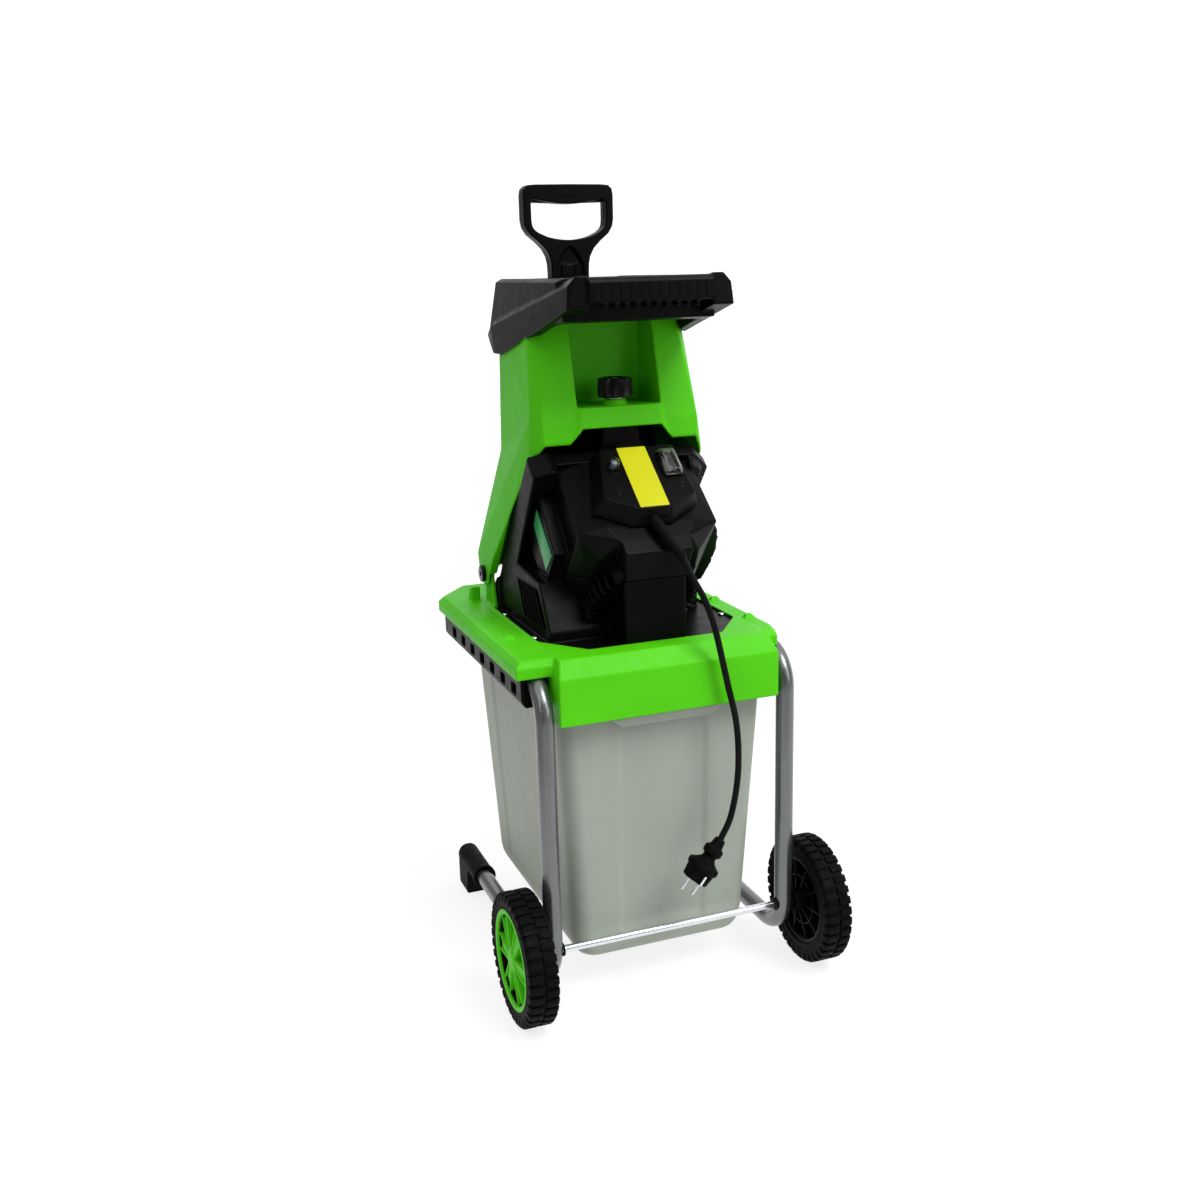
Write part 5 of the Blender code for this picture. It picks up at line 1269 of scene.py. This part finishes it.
# strain relief: a tapering sleeve with one raised band near its end, trimmed by a block
centre = smooth_route(RELIEF, 40)
length = [0.0]
for a, b in zip(centre, centre[1:]):
    length.append(length[-1] + (b - a).length)
total = length[-1]
sleeve_pts, sleeve_r = [], []
fine = smooth_route(RELIEF, 260)
for i, p in enumerate(fine):
    d = total * i / (len(fine) - 1)
    r = 8.6 - 2.7 * smooth01(d / total)
    if d > total - 9:
        r += 1.1 * smooth01((d - total + 9) / 1.4) * smooth01((total - d) / 1.6)
    if d > total - 1.5:
        r -= 1.2 * ((d - total + 1.5) / 1.5)
    sleeve_pts.append(P(*p))
    sleeve_r.append(r)
sleeve = pipe(sleeve_pts, 8.6, 40, radii=sleeve_r)
sleeve = cut(sleeve, hull([M(x, s, t) for x in (-40, 40) for s, t in ((80, 90), (80, 150), (127.0, 150), (146, 90))]))
root, out_dir = P(*RELIEF[0]), (P(*RELIEF[1]) - P(*RELIEF[0])).normalized()
keep(sleeve, "cord_sleeve", "rubber", "base", "strain_relief", sharp=40)

# plug: a moulded round Schuko-type body with finger grips, and its two pins
prof = [(0, 66), (16.6, 66), (18.2, 64.8), (18.6, 63), (18.6, 51), (19.4, 49.4), (22.4, 47.6), (22.6, 46), (22.6, 41.5), (21.8, 40), (15.6, 36.4),
        (11.5, 33), (9.6, 30), (9.4, 26.5), (12.6, 24.2), (13.6, 22.4), (13.6, 15.6), (12.4, 13.8), (9.2, 11.8), (8.8, 9.4), (8.4, 8.8), (8.6, 6.2), (8.0, 5.6),
        (8.2, 3.0), (7.4, 2.4), (6.8, 0.2), (6.0, 0), (0, 0)]
body = turned(rounded(prof, 0.7, 3), top, tuple(PLUG_DIR), 96)
extra = []
for k in range(8):
    a = math.radians(45 * k + 22.5)
    d = side_v * math.cos(a) + depth_v * math.sin(a)
    e = -side_v * math.sin(a) + depth_v * math.cos(a)
    extra.append(hull([top + PLUG_DIR * h * MM + d * r * MM + e * w * MM for h, r in ((40, 14.5), (52, 18), (41.5, 21.2), (61, 18.9), (61, 17)) for w in (-1.6, 1.6)], 0.4, 2))
# side keys and earth contacts on the plug's face
for sg in (-1, 1):
    d = depth_v * sg
    extra.append(hull([top + PLUG_DIR * h * MM + d * r * MM + side_v * w * MM for h in (46, 66.3) for r in (16.4, 19.6) for w in (-2.6, 2.6)], 0.4, 2))
keep(merged(body, *extra), "plug", "rubber", "base", "plug_body")
contacts = []
for sg in (-1, 1):
    d = depth_v * sg
    contacts.append(hull([top + PLUG_DIR * h * MM + d * r * MM + side_v * w * MM for h in (52, 66.5) for r in (19.5, 20.2) for w in (-1.7, 1.7)], 0.2, 2))
keep(merged(*contacts), "plug_contacts", "zinc", "base")
for i, sgn in enumerate((-1, 1)):
    base = top + PLUG_DIR * 0.0655 + side_v * (sgn * 9.5 * MM)
    pin = turned(rounded([(0, 0), (2.4, 0), (2.4, 17.2), (1.6, 19.3), (0, 19.6)], 0.5), base, PLUG_DIR, 32)
    keep(pin, f"pin_{i + 1}", "zinc", "base", f"plug_pin_{i + 1}")

# ================================================================ inside pieces carried over from the frame
CARRIED = {"motor_stator": "core", "front_bearing": "steel", "rear_bearing": "steel", "rotor_shaft": "steel", "armature_core": "core",
           "commutator": "copper", "cooling_fan": "nylon", "cutter_disc": "steel", "knife_a": "steel", "knife_b": "steel", "knife_bolt_a1": "zinc",
           "knife_bolt_a2": "zinc", "knife_bolt_b1": "zinc", "knife_bolt_b2": "zinc", "disc_nut": "zinc"}
for name, mat in CARRIED.items():
    o = nodes[name]
    o.data.materials.clear()
    o.data.materials.append(MAT[mat])

# ================================================================ floor, light and camera
# the floor's emission set below is painted light, not a lamp
floor_mat, nt, b = new_material("glowing_pale_floor")
nt.links.new(ramp(nt, noise(nt, 1.5, 2.0), [(0.3, (0.215, 0.215, 0.215)), (0.7, (0.225, 0.225, 0.225))]), b.inputs["Base Color"])
b.inputs["Roughness"].default_value = 0.75
b.inputs["Specular IOR Level"].default_value = 0.1


def edge_of(nt, turn, k, shift):
    """0 to 1 across a straight line on the floor."""
    tc = nt.nodes.new("ShaderNodeTexCoord")
    mp = nt.nodes.new("ShaderNodeMapping")
    mp.inputs["Rotation"].default_value = (0, 0, math.radians(turn))
    mp.inputs["Scale"].default_value = (k, k, k)
    mp.inputs["Location"].default_value = (shift, 0, 0)
    g = nt.nodes.new("ShaderNodeTexGradient")
    nt.links.new(tc.outputs["Object"], mp.inputs["Vector"])
    nt.links.new(mp.outputs["Vector"], g.inputs["Vector"])
    return g.outputs["Fac"]


# painted light: the floor glows, brightest on a white sweep where the glow also lightens the floor's own shadows; a
# dimmer painted glow to the left and behind the camera stands in for dark studio surroundings
nt.links.new(ramp(nt, edge_of(nt, -4.0, 4.01, 4.6), [(0.0, (0.12, 0.12, 0.12)), (1.0, (1.0, 1.0, 1.0))]), b.inputs["Emission Color"])
nt.links.new(span(nt, edge_of(nt, -90.0, 2.0, 3.0), 0.27, 0.80, 0.0, 1.0), b.inputs["Emission Strength"])
prof = [(0.0, 0.0), (5.0, 0.0)] + [(5.0 + 3.0 * math.sin(math.radians(a)), 3.0 - 3.0 * math.cos(math.radians(a))) for a in range(6, 91, 6)] + [(8.0, 6.5)]
bm = bmesh.new()
rows = [[bm.verts.new((r * math.cos(2 * math.pi * k / 96), r * math.sin(2 * math.pi * k / 96), h - 0.0005)) for k in range(96)] for r, h in prof[1:]]
bm.faces.new(rows[0])
for ra, rb in zip(rows, rows[1:]):
    for k in range(96):
        bm.faces.new((ra[k], rb[k], rb[(k + 1) % 96], ra[(k + 1) % 96]))
me = bpy.data.meshes.new("floor")
bm.to_mesh(me)
bm.free()
me.shade_smooth()
floor = link(bpy.data.objects.new("floor", me))
me.materials.append(floor_mat)

world = bpy.data.worlds.new("studio")
scene.world = world
world.use_nodes = True
bg = world.node_tree.nodes["Background"]
bg.inputs["Color"].default_value = (1.0, 1.0, 1.0, 1)
bg.inputs["Strength"].default_value = 1.15


def area(name, loc, aim, size, power, colour=(1, 1, 1)):
    li = bpy.data.lights.new(name, "AREA")
    li.shape = "RECTANGLE"
    li.size, li.size_y = size
    li.energy = power
    li.color = colour
    o = link(bpy.data.objects.new(name, li))
    o.location = loc
    o.rotation_euler = (Vector(aim) - Vector(loc)).to_track_quat("-Z", "Y").to_euler()
    return o


sun = bpy.data.lights.new("sun", "SUN")
sun.energy, sun.angle = 1.85, math.radians(28)
so = link(bpy.data.objects.new("sun", sun))
so.rotation_euler = (-Vector((1.0, -1.7, 2.6))).to_track_quat("-Z", "Y").to_euler()
area("key", (1.5, -2.4, 1.5), (0, 0, 0.6), (0.9, 1.6), 12)
area("strip", (-1.9, -1.3, 1.7), (0, 0, 0.7), (0.35, 1.6), 4.5)

yaw, pitch, roll = math.radians(20.59), math.radians(14.2), math.radians(-1.55)
fwd = Vector((math.sin(yaw) * math.cos(pitch), math.cos(yaw) * math.cos(pitch), -math.sin(pitch)))
right = Vector((math.cos(yaw), -math.sin(yaw), 0))
up = right.cross(fwd)
r2 = right * math.cos(roll) + up * math.sin(roll)
u2 = up * math.cos(roll) - right * math.sin(roll)
cam_d = bpy.data.cameras.new("camera")
cam_d.lens, cam_d.sensor_width, cam_d.sensor_fit = 39.35, 36.0, "HORIZONTAL"
cam = link(bpy.data.objects.new("camera", cam_d))
m = Matrix((r2, u2, -fwd)).transposed().to_4x4()
m.translation = (-0.66044, -1.71123, 0.97328)
cam.matrix_world = m
scene.camera = cam
